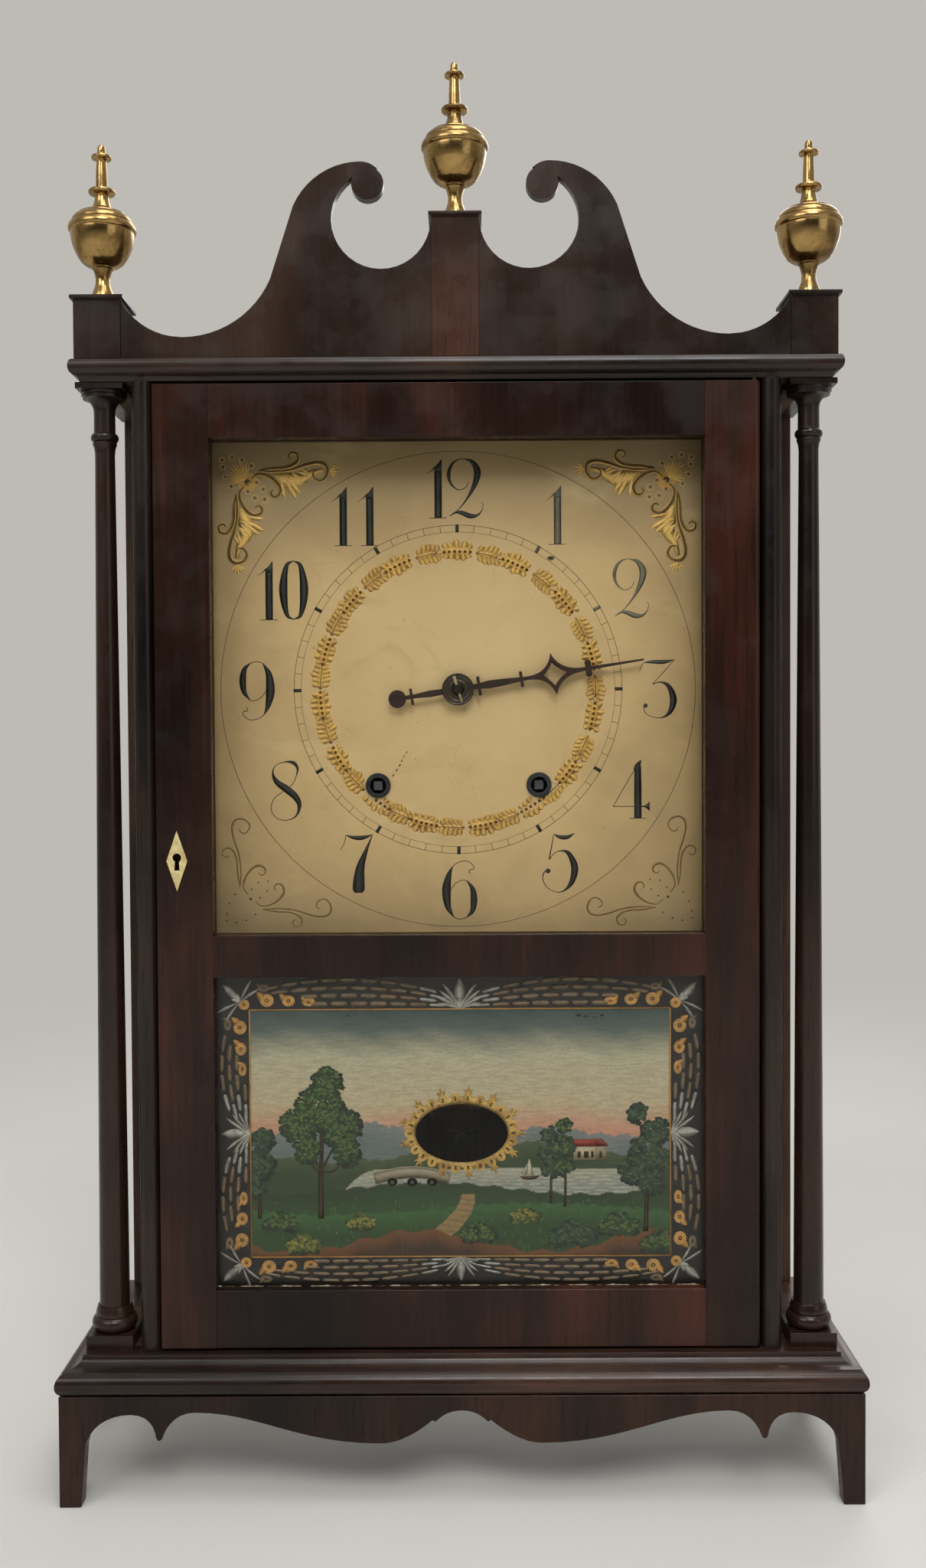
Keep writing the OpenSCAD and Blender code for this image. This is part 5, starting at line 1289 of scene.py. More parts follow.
@dataclass
class Sprays:
    """The corner sprays of the dial, drawn by halves: u and v run inwards from a corner's boss, in millimetres."""

    centre: np.ndarray
    face: float
    boss: Pair = (118.0, 117.5)
    glow: float = 1.9
    core: float = 0.8
    thin: float = 0.75

    def __post_init__(self) -> None:
        """Starts the empty layers."""
        self.gilt, self.under, self.over, self.faint, self.dots = ([] for _ in range(5))

    def scrolls(self) -> list[np.ndarray]:
        """The three scrolls of half a corner, as rows of u, v and half width."""
        return [flowing(line, 6) for line in (
            [(6.9, -6.0, 0.4), (14.5, -7.2, 0.55), (20.9, -7.4, 0.6), (25.7, -8.8, 0.65), (28.8, -11.6, 0.6),
             (28.1, -15.0, 0.5), (25.1, -15.8, 0.45), (23.6, -13.4, 0.4), (25.0, -11.9, 0.3)],
            [(6.9, -6.0, 0.4), (16.1, -5.4, 0.5), (25.7, -6.6, 0.55), (32.9, -8.9, 0.6), (39.3, -10.2, 0.65),
             (43.7, -9.2, 0.7), (45.5, -6.0, 0.7), (44.2, -2.0, 0.6), (41.1, -0.2, 0.5), (37.7, -2.0, 0.45),
             (37.4, -4.8, 0.4), (39.6, -6.0, 0.3)],
            [(2.6, -1.4, 0.3), (6.4, -4.0, 0.45), (11.3, -3.2, 0.6), (16.1, -0.2, 0.75), (18.9, 4.0, 0.85),
             (17.7, 7.8, 0.7), (14.9, 8.4, 0.55), (13.4, 6.3, 0.4), (14.6, 4.6, 0.3)])]

    def feathers(self) -> list[tuple[float, float, float, float, float, float]]:
        """The leaves of half a corner.

        Returns:
            Rows of u and v of the root, heading, length, width and swell.
        """
        made = [(19.0, -2.6, 80, 12.2, 3.0, 1.5), (20.4, -3.2, 60, 14.8, 3.3, 1.5),
                (21.8, -3.6, 52, 13.4, 3.1, 1.5), (23.2, -4.2, 40, 10.2, 3.0, 1.5),
                (25.0, -5.0, 33, 8.4, 2.7, 1.5), (28.0, -5.8, 18, 6.8, 2.5, 1.5),
                (22.0, -4.6, 70, 7.6, 2.8, 1.4), (25.5, -5.4, 60, 5.6, 2.4, 1.4),
                (30.5, -7.2, 30, 4.8, 2.2, 1.3)]
        made += [(46.6, -5.6, heading, 5.4, 1.35, 1.3) for heading in (-48, -22, 4, 30, 54)]
        made += [(-1.0, -1.0, heading, long, 1.25, 1.2) for heading, long in
                 ((231, 11.8), (242, 10.2), (253, 11.4), (264, 9.6), (275, 10.4), (287, 8.2))]
        made += [(0.8, 0.5, heading, 5.2, 0.4, 0.8) for heading in (8, 26, 42)]
        return made

    def berries(self) -> list[tuple[float, float, float, float]]:
        """The dots of half a corner: u, v, their radius and that of the ring round them."""
        return [(-13.8, -12.2, 0.72, 1.5), (-8.2, -13.4, 0.72, 1.5), (-2.6, -12.1, 0.72, 1.5),
                (2.7, -8.8, 0.72, 1.5), (5.4, 0.6, 0.72, 1.9), (9.3, 4.4, 0.66, 1.9), (10.0, 10.0, 0.66, 1.9),
                (0.0, 0.0, 1.1, 1.7)]

    def half(self, side: int, up: int, swap: bool) -> None:
        """Adds half a corner; the lower corners have only thin scrolls and dots.

        Args:
            side: -1 for a left corner, 1 for a right one.
            up: -1 for a lower corner, 1 for an upper one.
            swap: whether u runs along the upright edge.
        """
        middle = self.centre + np.array([side * self.boss[0], up * self.boss[1]])

        def spot(u: float | np.ndarray, v: float | np.ndarray) -> np.ndarray:
            """Puts u and v into the dial's plane."""
            a, b = (v, u) if swap else (u, v)
            return np.stack([middle[0] - side * a, middle[1] - up * b], -1)

        for scroll in self.scrolls():
            place, half = spot(scroll[:, 0], scroll[:, 1]), scroll[:, 2:]
            if up > 0:
                self.under.append(stroke(np.hstack([place, half * self.glow]), self.face, 0.1))
                self.over.append(stroke(np.hstack([place, half * self.core]), self.face - 0.08, 0.14))
            else:
                self.faint.append(stroke(np.hstack([place, half * self.thin]), self.face, 0.08))
        for u, v, radius, ring in self.berries():
            if swap and abs(u - v) < 2:
                continue
            x, z = spot(u, v)
            self.dots.append(bead(x, z, radius if up > 0 else radius * 0.7, self.face, 0.3, 10))
            if up > 0:
                self.under.append(stroke(ring_line((x, z), (ring, ring), 0.2, 24), self.face, 0.06, True))
        if up > 0:
            ground = np.array([(15, -3.6, 1.6), (21, -1.4, 4.2), (27, 0.4, 4.6), (32, -1.6, 3.2), (37, -5, 1.6),
                               (43, -6, 1.2)])
            wide = np.hstack([spot(ground[:, 0], ground[:, 1]), ground[:, 2:]])
            self.gilt.append(stroke(wide, self.face, 0.05))
            self.gilt.append(bead(*spot(0.4, 0.4), 5.6, self.face, 0.05, 20))
            for u, v, heading, length, width, swell in self.feathers():
                root, lean = spot(u, v), math.radians(heading)
                ahead = spot(u + math.cos(lean), v + math.sin(lean)) - root
                turn = math.degrees(math.atan2(ahead[1], ahead[0]))
                self.gilt.append(blade(root, turn, length, width, self.face, 0.09, swell=swell))

    def make(self) -> None:
        """Paints the four corners, each the same on both sides of its diagonal."""
        for side in (-1, 1):
            for up in (-1, 1):
                for swap in (False, True):
                    self.half(side, up, swap)
        piece("corner_gilding", joined(self.gilt + self.under), PALE_GILT, "case")
        piece("corner_scrolls", joined(self.over), BROWN_GOLD, "case")
        piece("corner_dots", joined(self.dots), BROWN_GOLD, "case")
        piece("faint_scrolls", joined(self.faint), FAINT_LINE, "case")


@dataclass
class Dial:
    """The painted dial: figures, minute track and leaf ring, in millimetres, and the corner sprays."""

    frame: Frame
    figure_radius: float = 113.0
    track: Pair = (88.5, 92.4)
    rim_radius: float = 133.75
    leaf_radius: float = 77.6
    leaf_places: tuple[float, ...] = (0, 24.8, 50.7, 76.2, 101.4, 127.2, 147.3, 169.8, 194.7, 215.8, 240, 263.8,
                                      286.3, 309.8, 334.2)
    dots: int = 6
    dot_step: float = 2.17
    dot_radius: float = 0.92
    line_half: float = 0.14
    line_lift: float = 0.05
    block_half: float = 0.95
    block_lift: float = 0.08
    wash: float = 0.03
    air: float = 0.01
    seed: int = 5

    def __post_init__(self) -> None:
        """Takes the dial's face and middle from the frame."""
        low, high = (np.array(c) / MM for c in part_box("dial_board"))
        self.face = low[1] - self.air
        self.centre = np.array([0.0, (low[2] + high[2]) / 2])
        self.random = np.random.default_rng(self.seed)

    def around(self, radius: float, degrees: float) -> np.ndarray:
        """The place at a radius and an angle counted clockwise from the top."""
        a = math.radians(degrees)
        return self.centre + radius * np.array([math.sin(a), math.cos(a)])

    def figures(self) -> None:
        """The twelve hours round the dial."""
        numerals = Numerals()
        made = []
        for hour in range(1, 13):
            place = self.around(self.figure_radius, hour * 30)
            made += numerals.draw(str(hour), (place[0], place[1]), self.face)
        piece("hour_figures", joined(made), DialInk(), "case")

    def lines(self) -> None:
        """The minute track's two rings and marks, and the thin ring outside the figures."""
        inner, outer = self.track
        made = [stroke(ring_line(tuple(self.centre), (r, r), half, 240), self.face, self.line_lift, True)
                for r, half in ((inner, 0.1), (outer, 0.15), (self.rim_radius, 0.16))]
        blocks = []
        for minute in range(60):
            start, end = self.around(inner, minute * 6), self.around(outer, minute * 6)
            if minute % 5 == 0:
                start, end = self.around(inner - 0.2, minute * 6), self.around(outer + 0.4, minute * 6)
                half = self.block_half
                blocks.append(stroke(np.array([[*start, half], [*end, half]]), self.face, self.block_lift))
            else:
                half = self.line_half
                made.append(stroke(np.array([[*start, half], [*end, half]]), self.face, self.line_lift))
        piece("minute_lines", joined(made), LINE_INK, "case")
        piece("hour_blocks", joined(blocks), DialInk(), "case")

    def leaf_ring(self) -> None:
        """The gilt ring: rows of raised dots on lobed leaves, and a leaf with a rib between two rows."""
        leaves, dots, ribs = [], [], []
        places = list(self.leaf_places) + [360 + self.leaf_places[0]]
        for middle, following in zip(places, places[1:]):
            row = middle + (np.arange(self.dots) - (self.dots - 1) / 2) * self.dot_step
            line = np.array([[*self.around(self.leaf_radius, a), 3.4] for a in row])
            leaves.append(stroke(line, self.face, self.wash))
            for angle in row:
                x, z = self.around(self.leaf_radius, angle)
                dots.append(bead(x, z, self.dot_radius, self.face - 0.05, 0.6, 12))
            for k, angle in enumerate((row[1:] + row[:-1]) / 2):
                for side in (1, -1):
                    share = 1 - 0.22 * abs(k - 2) / 2
                    root = self.around(self.leaf_radius + side * 0.8, angle)
                    heading = (90 if side > 0 else 270) - angle + self.random.normal(0, 8) - side * (k - 2) * 11
                    reach = (5.6 if side > 0 else 4.8) * share * self.random.uniform(0.82, 1.15)
                    leaves.append(blade(root, heading, reach, 3.7, self.face, self.wash, swell=1.5))
            self.palmette(leaves, ribs, (middle + following) / 2)
        piece("leaf_ring", joined(self.clear_of_holes(leaves)), GILT, "case")
        piece("leaf_ring_ribs", joined(self.clear_of_holes(ribs)), BROWN_GOLD, "case")
        piece("leaf_ring_dots", joined(self.clear_of_holes(dots)), DOT_GOLD, "case")

    def clear_of_holes(self, patches: list[Patch]) -> list[Patch]:
        """Leaves out what hangs over a lined winding hole; the holes are mirror images.

        Args:
            patches: leaves, ribs or dots.

        Returns:
            Those that have no point over a hole.
        """
        low, high = (np.array(c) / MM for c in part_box("winding_grommets"))
        reach = (high[2] - low[2]) / 2
        middle = np.array([high[0] - reach, (high[2] + low[2]) / 2])

        def gap(patch: Patch) -> float:
            """How near a patch comes to the middle of a hole."""
            x, _, z = patch.points.T
            return np.hypot(np.abs(x) - middle[0], z - middle[1]).min()

        return [p for p in patches if gap(p) > reach - 0.5]

    def palmette(self, leaves: list[Patch], ribs: list[Patch], angle: float) -> None:
        """Adds a lobed leaf whose rib follows the ring; lobes leave the rib in pairs and lean forward.

        Args:
            leaves: list that takes the lobes.
            ribs: list that takes the ribs.
            angle: the leaf's middle, in degrees from the top.
        """
        reach = 4.6
        line = np.array([[*self.around(self.leaf_radius, angle + a), 3.1 - 0.5 * abs(a)]
                         for a in np.linspace(-reach, reach, 7)])
        leaves.append(stroke(line, self.face, self.wash))
        rib = line.copy()
        rib[:, 2] = 0.22
        ribs.append(stroke(rib, self.face - 0.04, 0.04))
        for step in np.linspace(-3.6, 3.9, 5):
            root = self.around(self.leaf_radius, angle + step)
            ahead = -(angle + step)
            long = 6.2 * math.cos(step / 5.4) ** 0.6
            for side in (-1, 1):
                lean, lobe = ahead + side * 62, long * self.random.uniform(0.85, 1.12)
                leaves.append(blade(root, lean, lobe, 3.3, self.face, 0.04, side * 16, swell=1.5))
                ribs.append(blade(root, lean, long * 0.7, 0.24, self.face - 0.03, 0.04, side * 12))
        tip = self.around(self.leaf_radius, angle + reach)
        leaves.append(blade(tip, -angle - 5, 3.2, 2.4, self.face, 0.04, swell=1.2))

    def wear(self) -> None:
        """A broken scratch near the left winding hole, and a dark chip near the upper right of the track."""
        line = flowing([(-37.3, 395.8, 0.3), (-33.5, 401.5, 0.35), (-31.0, 406.5, 0.25), (-27.9, 411.1, 0.2)], 8)
        dashes = [stroke(line[i:i + 3], self.face, 0.04) for i in range(0, len(line) - 3, 4)]
        chip = bead(52.6, 518.1, 1.7, self.face, 0.06, 9, (1.3, 0.75))
        piece("dial_wear", joined(dashes + [chip]), LINE_INK, "case")

    def hub(self) -> None:
        """The ringed washer on the minute hand: ridges and grooves turned about the axis."""
        front = np.array(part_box("minute_hand")[0])[1] / MM
        profile = [(0, -0.2), (9.0, -0.2), (9.0, 0.3), (8.6, 0.5), (8.2, 0.5), (7.9, 0.25), (7.2, 0.3),
                   (6.9, 0.45), (6.4, 0.45), (6.1, 0.2), (5.2, 0.2), (4.9, 0.55), (4.4, 0.65), (4.0, 0.5),
                   (3.4, 0.5), (3.1, 0.3), (0, 0.3)]
        body = self.frame.body("minute_hand")
        piece("hub_washer", turned(profile, (0, front, self.centre[1]), 48), HUB_IRON, body)

    def make(self) -> None:
        """Finishes the dial board, its rings, cleats, hands and all that is painted on it."""
        self.frame.dress(["dial_board"], DialPaint(centre_z=self.centre[1] * MM))
        self.frame.dress(["dial_cleats"], PINE)
        self.frame.ease(["winding_grommets"], LEAD, 0.25)
        self.frame.ease(["hour_hand", "minute_hand"], HAND_IRON, 0.18)
        self.hub()
        self.figures()
        self.lines()
        self.leaf_ring()
        Sprays(self.centre, self.face).make()
        self.wear()


@dataclass
class Side:
    """Half a side of the border, seen from the lily in its middle.

    Its fields are where the lily stands, the direction to the corner, the direction from the picture to the edge,
    the distance to the picture's corner and the width of the border.
    """

    root: np.ndarray
    along: np.ndarray
    out: np.ndarray
    length: float
    deep: float


@dataclass
class Border:
    """The tablet's woven border: rows of short bars that fan from a lily in the middle of each side to the corners.

    A row rises and falls as a sine of the distance from the lily, raised to a power below 1, and bars of
    neighbouring rows are set half a bar apart.
    """

    picture: Box
    sight: Box
    face: float
    rows: int = 4
    bar_step: float = 11.0
    bar_gap: float = 0.9
    row_ends: tuple[int, ...] = (42, 31, 20, 15)

    def __post_init__(self) -> None:
        """Starts the empty layers."""
        self.gold, self.bronze, self.silver = [], [], []

    def make(self) -> None:
        """Paints the four sides, each by halves, and then the corners."""
        x0, z0, x1, z1 = self.picture
        s0, t0, s1, t1 = self.sight
        level, half = (z0 + z1) / 2, (z1 - z0) / 2
        sides = [((0, z1), (1, 0), (0, 1), x1, t1 - z1), ((0, z0), (1, 0), (0, -1), x1, z0 - t0),
                 ((x0, level), (0, 1), (-1, 0), half, x0 - s0), ((x1, level), (0, 1), (1, 0), half, s1 - x1)]
        for root, along, out, length, deep in sides:
            root, along, out = np.array(root, float), np.array(along, float), np.array(out, float)
            for way in (-1, 1):
                half_side = Side(root, way * along, out, length, deep)
                self.bars(half_side)
                self.drops(half_side)
            self.lily(root, math.degrees(math.atan2(out[1], out[0])), deep * 0.84)
        for side in (-1, 1):
            for up, z, t in ((1, z1, t1), (-1, z0, t0)):
                corner = np.array([side * (x1 + 3.6), z + up * 2.6])
                heading = math.degrees(math.atan2(up * abs(t - z), side * (s1 - x1)))
                self.lily(corner + np.array([side * 1.6, up * 1.6]), heading, 14, (64, 92))
                self.gold.append(bead(corner[0] - side * 0.6, corner[1] + up * 0.4, 3.0, self.face, 0.06, 14))
        piece("border_gold", joined(self.gold), LEAF_GOLD, "door")
        piece("border_bronze", joined(self.bronze), LEAF_BRONZE, "door")
        piece("border_silver", joined(self.silver), LEAF_SILVER, "door")

    def bars(self, side: Side) -> None:
        """Adds the bars of half a side; those beside the lily are silver, as its rays.

        Args:
            side: the half side.
        """
        def height(row: float, s: np.ndarray) -> np.ndarray:
            """How far a row lies from the picture at a distance from the lily."""
            rise = np.sin(np.pi * np.clip((s + 3) / (1.16 * side.length), 0, 1)) ** 0.62
            return side.deep * (0.05 + 0.9 * (row + 0.5) / self.rows * rise)

        for row in range(self.rows):
            start = 6.5 + (row % 2) * self.bar_step / 2
            while start < side.length - self.row_ends[row]:
                end = min(start + self.bar_step - self.bar_gap, side.length - 2)
                s = np.linspace(start + self.bar_gap, end, 7)
                gap = height(row + 1, s) - height(row, s)
                half = np.minimum(gap * 0.33, 1.42) * np.array([0.55, 1, 1, 1, 1, 1, 0.55])
                spots = side.root + s[:, None] * side.along + height(row, s)[:, None] * side.out
                taker = self.silver if start < 14 else self.bronze
                taker.append(stroke(np.hstack([spots, half[:, None]]), self.face, 0.04))
                start += self.bar_step

    def drops(self, side: Side) -> None:
        """Adds the four drops at the corner end of half a side.

        Args:
            side: the half side.
        """
        along, out = side.along, side.out
        for back, rise, long, wide, taker in ((9.7, 5.3, 3.9, 3.6, self.gold), (21.7, 5.0, 3.6, 3.1, self.gold),
                                              (33.0, 4.2, 3.8, 2.3, self.gold), (8.0, 12.2, 3.4, 2.0, self.bronze)):
            place = side.root + (side.length - back) * along + out * rise
            shape = (long / wide, 1) if abs(along[0]) > 0.5 else (1, long / wide)
            taker.append(bead(place[0], place[1], wide, self.face, 0.03, 16, shape))
            tail = place + along * long * 0.5 + out * wide * 0.2
            lean = math.degrees(math.atan2(*(along + out * 1.1)[::-1]))
            taker.append(blade(tail, lean, wide * 1.5, wide * 1.2, self.face, 0.05, swell=0.7))

    def lily(self, root: np.ndarray, heading: float, size: float,
             rays: tuple[float, ...] = (27, 41, 55, 68)) -> None:
        """Adds a lily: a tall middle petal, two short side petals and rays that bend away beside them.

        Args:
            root: x and z where it stands.
            heading: direction of the middle petal in degrees.
            size: its height.
            rays: how far each ray leans from the middle, in degrees.
        """
        ahead = np.array([math.cos(math.radians(heading)), math.sin(math.radians(heading))])
        tall = root + 0.18 * size * ahead
        self.silver.append(blade(tall, heading, size * 0.84, size * 0.36, self.face, 0.08, swell=0.85))
        for side in (-1, 1):
            foot = root + 0.02 * size * ahead
            turn = heading + side * 16
            self.silver.append(blade(foot, turn, size * 0.36, size * 0.2, self.face, 0.06, side * 30))
            for k, lean in enumerate(rays):
                turn, long = heading + side * lean, size * (1.02 - 0.09 * k)
                self.silver.append(blade(root, turn, long, size * 0.11, self.face, 0.05, side * 16, swell=1.5))


@dataclass
class Tablet:
    """The glass tablet, painted on its back: a leafed border, a plain landscape and an oval window.

    The sizes that end in _at are distances of the painted layers behind the back of the glass.
    """

    frame: Frame
    picture: Box = (-116.8, 128.5, 116.8, 266.9)
    oval_centre: Pair = (0.7, 197.5)
    oval: Pair = (25.8, 16.4)
    lap: float = 5
    border_at: float = 0.05
    line_at: float = 0.06
    ground_at: Pair = (0.12, 0.5)
    flecks_at: float = 0.2
    rim_at: float = 0.24
    scenery_at: float = 0.36
    sheet_at: float = 0.42
    boat_at: float = 0.35
    foot_at: float = 0.37
    paint: float = 0.02
    margin: float = 0.5
    band_out: float = 2.0
    band_half: float = 2.1
    scallops: int = 26
    scallop_out: float = 3.6
    scallop: float = 2.5
    seed: int = 11

    def __post_init__(self) -> None:
        """Takes the glass and the sight size from the frame, and starts the list of painted motifs."""
        low, high = (np.array(c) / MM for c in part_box("tablet_glass"))
        self.back = high[1]
        self.sight, self.edge = ((low[0] + inset, low[2] + inset, high[0] - inset, high[2] - inset)
                                 for inset in (self.lap, self.margin))
        self.random = np.random.default_rng(self.seed)
        self.motifs: list[Patch] = []

    def ground(self) -> None:
        """The black ground: a flat frame between the glass's edge and the picture, with thickness."""
        outer, inner = self.edge, self.picture

        def loop(box: Box, y: float) -> np.ndarray:
            """The four corners of a box at a depth, round from the lower left."""
            x0, z0, x1, z1 = box
            return np.array([[x0, y, z0], [x1, y, z0], [x1, y, z1], [x0, y, z1]])

        front, back = (self.back + depth for depth in self.ground_at)
        points = np.vstack([loop(outer, front), loop(inner, front), loop(inner, back), loop(outer, back)])
        j = np.arange(4)
        k = (j + 1) % 4
        quads = np.vstack([lattice(4, 4, True), np.stack([12 + j, 12 + k, k, j], 1)])
        piece("tablet_ground", Patch(points, quads), BLACK_GROUND, "door", False)

    def colours(self, x: np.ndarray, z: np.ndarray) -> np.ndarray:
        """The picture's ground: sky, ridge, hills, lake, shore, lawn, path and bank.

        Each but the sky and the path lies below a line of its own, a height plus a few sines of x; the sky fades
        from blue through cream to rose as it comes down.

        Args:
            x: places across, in millimetres.
            z: places up, in millimetres.

        Returns:
            Linear colours of the places.
        """
        sky = tones([(62, 82, 82), (94, 108, 102), (196, 190, 162), (206, 190, 156), (214, 150, 124),
                     (206, 124, 106)])
        stops = np.array([267, 256, 240, 214, 197, 188])
        drift = z + 1.3 * np.sin(x * 0.09) + 0.8 * np.sin(x * 0.23 + z * 0.4)
        colour = np.stack([np.interp(-drift, -stops, sky[:, k]) for k in range(3)], -1)

        def lay(line: np.ndarray, near: Colour, far: Colour, deep: float) -> None:
            """Paints all that lies under a line.

            Args:
                line: the line's height at each place.
                near: screen colour below.
                far: screen colour at the line.
                deep: distance over which the one turns into the other.
            """
            share = np.clip((line - z) / deep, 0, 1)[..., None]
            paint = tones([far])[0] * (1 - share) + tones([near])[0] * share
            colour[...] = np.where((z < line)[..., None], paint, colour)

        peaks = 9 * np.exp(-((x + 62) / 34) ** 2) + 5 * np.exp(-((x - 48) / 22) ** 2)
        lay(196 + peaks + 0.8 * np.sin(x * 0.5) + 0.5 * np.sin(x * 1.3), (112, 124, 122), (134, 140, 138), 12)
        hills = 187 + 5 * np.sin(x * 0.031 + 0.6) + 1.2 * np.sin(x * 0.19) + 0.5 * np.sin(x * 0.9)
        lay(hills, (54, 76, 44), (80, 94, 62), 9)
        lake = 177.5 + 0.6 * np.sin(x * 0.05) - 24 * np.clip((-46 - x) / 26, 0, 1) ** 2
        lake = lake - 15 * np.clip((x - 88) / 18, 0, 1) ** 2
        lay(lake, (150, 158, 150), (176, 176, 158), 10)
        ripple = (np.sin(z * 3.1 + np.sin(x * 0.3)) > 0.75) & (z < lake)
        colour[...] = np.where(ripple[..., None], tones([(196, 190, 166)])[0], colour)
        shore = 166.5 + 3.5 * np.sin(x * 0.035 + 2.2) + 0.7 * np.sin(x * 0.4)
        lay(shore, (52, 86, 44), (42, 64, 34), 14)
        lawn = 155 + 3 * np.sin(x * 0.028 + 0.4) + 0.6 * np.sin(x * 0.7)
        lay(lawn, (46, 78, 38), (64, 108, 60), 12)
        path_mid = -30 + 34 * np.sin((z - 128) * 0.045)
        path_half = 9.5 - (z - 128) * 0.17
        on_path = (np.abs(x - path_mid) < path_half) & (z < 163)
        path = tones([(168, 138, 92)])[0] * (0.86 + 0.14 * np.sin(z * 1.9 + x * 0.3))[..., None]
        colour[...] = np.where(on_path[..., None], path, colour)
        bank = 137 + 6 * np.sin(x * 0.045 + 2.6) + 1.2 * np.sin(x * 0.31)
        lay(bank, (70, 46, 26), (126, 80, 42), 9)
        return colour

    def sheet(self) -> None:
        """The painted ground of the picture: a fine grid with its tints, open where the oval window is."""
        x0, z0, x1, z1 = self.picture
        across, up = 330, 190
        x, z = np.meshgrid(np.linspace(x0, x1, across), np.linspace(z0, z1, up))
        points = np.stack([x, np.full_like(x, self.back + self.sheet_at), z], -1).reshape(-1, 3)
        quads = lattice(up, across)
        away = (points[quads].mean(1)[:, [0, 2]] - self.oval_centre) / (np.array(self.oval) + 1)
        inside = away[:, 0] ** 2 + away[:, 1] ** 2 < 1
        painted = Patch(points, quads[~inside], tint=self.colours(x, z).reshape(-1, 3))
        made = piece("picture_ground", painted, Tinted(), "door")
        thick = made.modifiers.new("paint thickness", "SOLIDIFY")
        thick.thickness = 0.08 * MM
        thick.offset = -1

    def dab(self, x: float, z: float, size: float, y: float, colour: np.ndarray, squash: float = 0.8) -> Patch:
        """A flat dab of paint with a lobed edge: the radius swings with five times the angle.

        Args:
            x: its middle.
            z: its middle.
            size: its mean radius.
            y: depth of its edge.
            colour: its tint.
            squash: its height over its width.

        Returns:
            The dab, a fan round its middle.
        """
        sides = 10
        angle = 2 * np.pi * np.arange(sides) / sides + self.random.uniform(0, 6)
        r = size * (1 + 0.22 * np.cos(angle * 5))
        ring = np.stack([x + r * np.cos(angle), np.full(sides, y), z + squash * r * np.sin(angle)], 1)
        points = np.vstack([ring, [[x, y - 0.01, z]]])
        j = np.arange(sides)
        fan = np.stack([j, (j + 1) % sides, np.full(sides, sides)], 1)
        return Patch(points, np.zeros((0, 4), int), fan).tinted(colour)

    def tree(self, x: float, z: float, blobs: Knots, trunk: float, greens: list[Colour]) -> None:
        """Adds a tree: a forked trunk, then dabs of shade, body and light over its blobs.

        Args:
            x: foot of the trunk.
            z: foot of the trunk.
            blobs: rows of x, z and radius of the crown, from the foot.
            trunk: half width of the trunk.
            greens: shade, body and light.
        """
        base = self.back + self.scenery_at
        bark = tones([(66, 50, 34)])[0]
        top = max(blobs, key=lambda b: b[1])
        line = flowing([(x, z, trunk), (x + 0.4, z + top[1] * 0.4, trunk * 0.7),
                        (x + top[0] * 0.6, z + top[1] * 0.9, trunk * 0.25)])
        self.motifs.append(stroke(line, base, self.paint).tinted(bark))
        for bx, bz, _ in blobs:
            limb = flowing([(x + 0.3, z + top[1] * 0.35, trunk * 0.45), (x + bx * 0.5, z + bz * 0.75, trunk * 0.3),
                            (x + bx, z + bz, 0.1)])
            self.motifs.append(stroke(limb, base, self.paint).tinted(bark * 0.9))
        # For shade, body and light: share of the crown's radius, dabs to its area, shift to the upper left, size.
        layers = ((1.0, 1.1, 0, 1.25), (0.92, 0.9, 0.4, 1), (0.8, 0.5, 1.2, 0.72))
        draw = self.random.uniform
        for layer, (green, (share, crowd, lift, size)) in enumerate(zip(tones(greens), layers)):
            for bx, bz, radius in blobs:
                for _ in range(int(radius * radius * crowd) + 4):
                    a, r = draw(0, 2 * np.pi), radius * share * math.sqrt(draw(0, 1))
                    tint = green * draw(0.75, 1.25)
                    depth = base - 0.04 - 0.05 * layer - draw(0, 0.045)
                    across, up = bx + r * math.cos(a) - lift * 0.4, bz + r * math.sin(a) * 0.95 + lift
                    self.motifs.append(self.dab(x + across, z + up, draw(0.8, 1.5) * size, depth, tint))

    def scenery(self) -> None:
        """Trees, bushes, a stone bridge, a barn and a boat: plain motifs laid over the ground."""
        dark = [(24, 38, 24), (46, 72, 38), (88, 112, 56)]
        blue = [(22, 38, 30), (40, 66, 46), (72, 96, 62)]
        warm = [(44, 50, 24), (86, 98, 44), (140, 136, 62)]
        self.bridge()
        self.barn(72, 182)
        self.boat(38, 172)
        self.tree(-78, 150, [(0, 62, 14), (-12, 52, 11), (12, 50, 12), (4, 76, 9), (-7, 38, 8), (15, 36, 8)],
                  1.7, dark)
        self.tree(103, 142, [(0, 44, 10), (-7, 34, 8), (6, 56, 8), (3, 28, 8), (-4, 66, 6), (8, 40, 7)],
                  1.4, blue)
        self.tree(50, 158, [(0, 28, 6.5), (0, 38, 4.8), (0, 19, 5.5)], 0.9, blue)
        self.tree(58, 156, [(0, 34, 6.2), (0, 45, 4.4), (0, 22, 5.4)], 0.9, dark)
        self.tree(-112, 150, [(0, 30, 9), (2, 44, 7), (-3, 18, 7)], 1.2, blue)
        bushes = ((-100, 146, 6, dark), (-55, 147, 5, warm), (88, 144, 7, dark), (36, 150, 5, warm),
                  (10, 140, 6, dark), (62, 138, 8, blue), (-88, 134, 6, warm), (112, 134, 7, dark))
        for x, z, size, greens in bushes:
            self.tree(x, z - 2, [(0, size * 0.6, size), (size, size * 0.35, size * 0.7),
                                 (-size, size * 0.3, size * 0.7)], 0.4, greens)
        draw = self.random.uniform
        for _ in range(260):
            x, z = draw(-115, 115), draw(130, 160)
            tint = tones([(112, 138, 66)])[0] * draw(0.5, 1.1)
            grass = flowing([(x, z, 0.22), (x + draw(-0.6, 0.6), z + draw(1, 2.6), 0.06)], 3)
            self.motifs.append(stroke(grass, self.back + self.foot_at, self.paint).tinted(tint))
        piece("picture_scenery", joined(self.motifs), Tinted(), "door")

